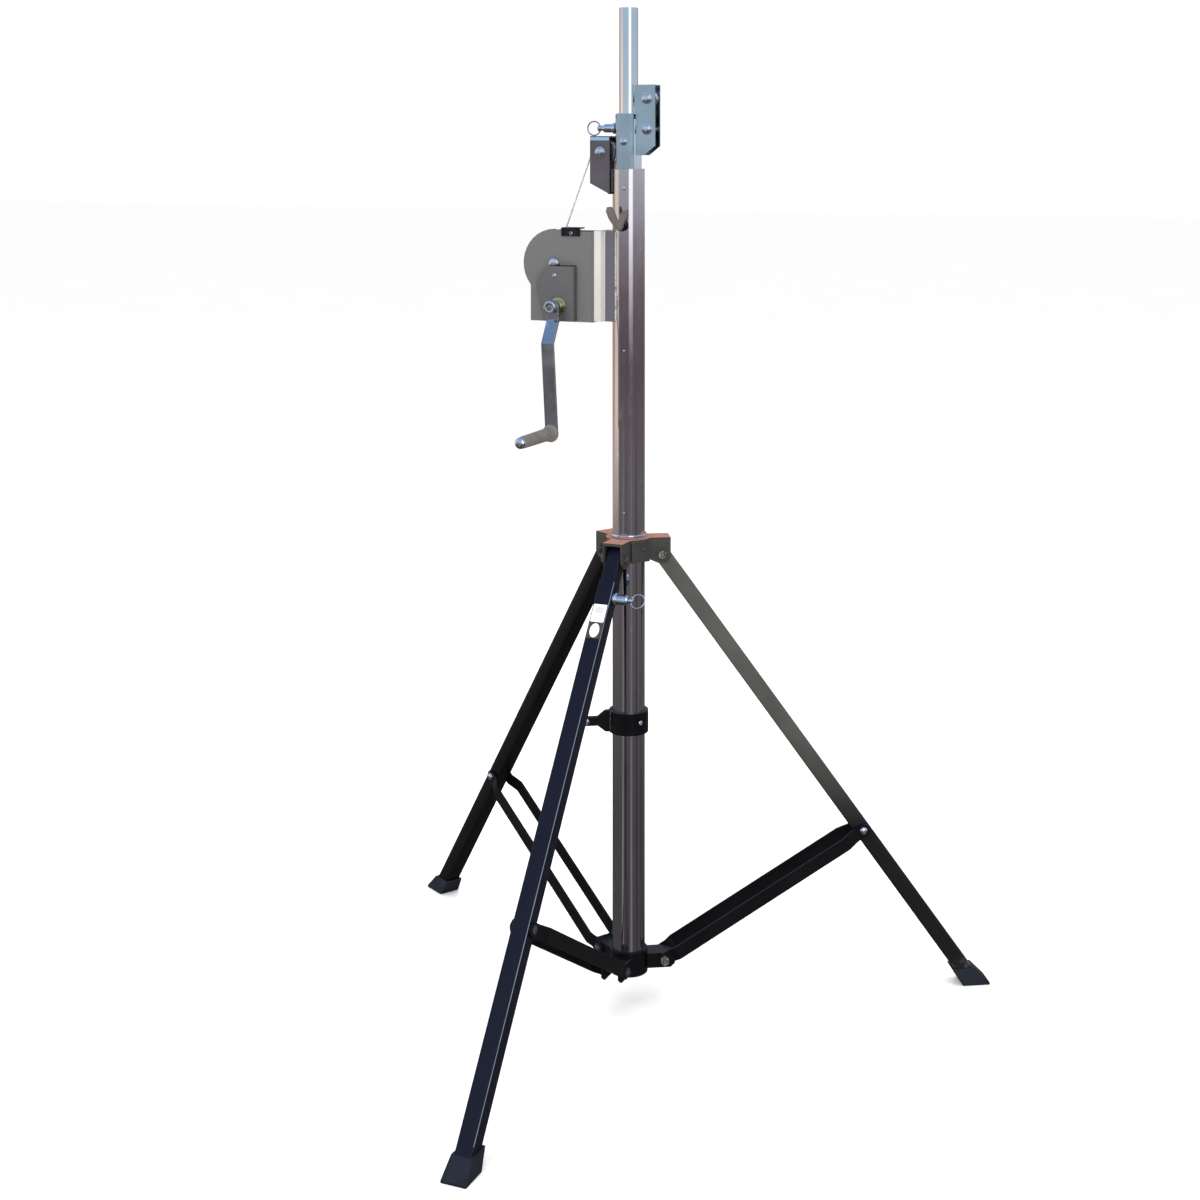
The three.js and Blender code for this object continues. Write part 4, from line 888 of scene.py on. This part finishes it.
def studio_world():
    """Soft surround: pale blue above the horizon, dark below it, a bright window in front, pale and warm
    panels to the left and behind, and upright strips low down. Only reflections see it: all else sees
    plain white."""
    world = bpy.data.worlds.new("studio")
    scene.world = world
    world.use_nodes = True
    tree = world.node_tree
    tree.nodes.clear()
    link = tree.links.new

    def add(kind, **settings):
        node = tree.nodes.new(kind)
        for key, value in settings.items():
            setattr(node, key, value)
        return node

    direction = add("ShaderNodeTexCoord")
    split = add("ShaderNodeSeparateXYZ")
    link(direction.outputs["Generated"], split.inputs[0])

    def dot(vector):
        d = add("ShaderNodeVectorMath", operation="DOT_PRODUCT")
        link(direction.outputs["Generated"], d.inputs[0])
        d.inputs[1].default_value = vector
        return d.outputs["Value"]

    def ease(value, lo, hi):
        m = add("ShaderNodeMapRange", interpolation_type="SMOOTHSTEP")
        for key, v in (("From Min", lo), ("From Max", hi), ("To Min", 0), ("To Max", 1)):
            m.inputs[key].default_value = v
        link(value, m.inputs["Value"])
        return m.outputs["Result"]

    def times(a, b):
        m = add("ShaderNodeMath", operation="MULTIPLY")
        link(a, m.inputs[0])
        link(b, m.inputs[1])
        return m.outputs[0]

    def over(under, mask, colour):
        m = add("ShaderNodeMix", data_type="RGBA")
        link(mask, m.inputs[0])
        link(under, m.inputs[6])
        m.inputs[7].default_value = (*colour, 1)
        return m.outputs[2]

    height = add("ShaderNodeMapRange")
    for key, v in (("From Min", -1), ("From Max", 1), ("To Min", 0), ("To Max", 1)):
        height.inputs[key].default_value = v
    link(split.outputs["Z"], height.inputs["Value"])
    sky = add("ShaderNodeValToRGB")
    stops = [(0.0, (0.05, 0.05, 0.053)), (0.33, (0.088, 0.084, 0.088)), (0.375, (0.150, 0.142, 0.148)),
        (0.415, (0.185, 0.168, 0.180)), (0.44, (0.140, 0.116, 0.128)), (0.46, (0.195, 0.150, 0.175)),
        (0.475, (0.33, 0.29, 0.33)), (0.486, (0.52, 0.50, 0.55)), (0.50, (0.60, 0.67, 0.75)),
        (0.525, (0.47, 0.60, 0.72)), (0.60, (0.58, 0.74, 0.92)), (0.80, (0.34, 0.48, 0.80)),
        (1.0, (0.20, 0.30, 0.60))]
    while len(sky.color_ramp.elements) < len(stops):
        sky.color_ramp.elements.new(0.5)
    for e, (at, colour) in zip(sky.color_ramp.elements, stops):
        e.position, e.color = at, (*colour, 1)
    link(height.outputs["Result"], sky.inputs["Fac"])
    front, side = dot(AIM), dot(SIDE)
    colour = sky.outputs["Color"]
    up = split.outputs["Z"]
    low_band = times(ease(up, -0.24, -0.12), ease(up, 0.10, 0.03))
    left = times(ease(side, -0.35, -0.50), ease(front, 0.34, 0.14))
    colour = over(colour, times(low_band, left), (1.0, 0.90, 0.80))
    left_back = times(ease(side, -0.10, -0.40), ease(front, -0.30, -0.55))
    colour = over(colour, times(low_band, left_back), (0.62, 0.40, 0.30))
    behind = times(ease(front, -0.55, -0.80), times(ease(up, 0.0, 0.03), ease(up, 0.42, 0.20)))
    colour = over(colour, behind, (0.46, 0.24, 0.17))
    window = times(times(ease(side, -0.02, 0.06), ease(side, 0.56, 0.42)),
        times(ease(front, 0.40, 0.55), ease(up, -0.125, -0.01)))
    colour = over(colour, window, (1.7, 1.75, 1.8))
    # upright dark and light strips, as walls and posts give in a polished tube
    strips = ((-0.30, 0.035, (0.035, 0.034, 0.04)), (-0.62, 0.10, (0.27, 0.25, 0.26)),
        (0.30, 0.14, (0.24, 0.23, 0.25)), (0.80, 0.05, (0.05, 0.045, 0.05)))
    for at, half, tone in strips:
        strip = times(ease(side, at - half, at - half * 0.5), ease(side, at + half, at + half * 0.5))
        strip = times(strip, times(ease(front, 0.1, 0.3), ease(up, -0.12, -0.20)))
        colour = over(colour, strip, tone)
    seen = add("ShaderNodeLightPath")
    shown = add("ShaderNodeMix", data_type="RGBA")
    link(seen.outputs["Is Glossy Ray"], shown.inputs[0])
    white = 1.04  # a little over 1, so that the background stays pure white
    shown.inputs[6].default_value = (white, white, white, 1)
    link(colour, shown.inputs[7])
    background = add("ShaderNodeBackground")
    link(shown.outputs[2], background.inputs["Color"])
    out = add("ShaderNodeOutputWorld")
    link(background.outputs[0], out.inputs["Surface"])


studio_world()
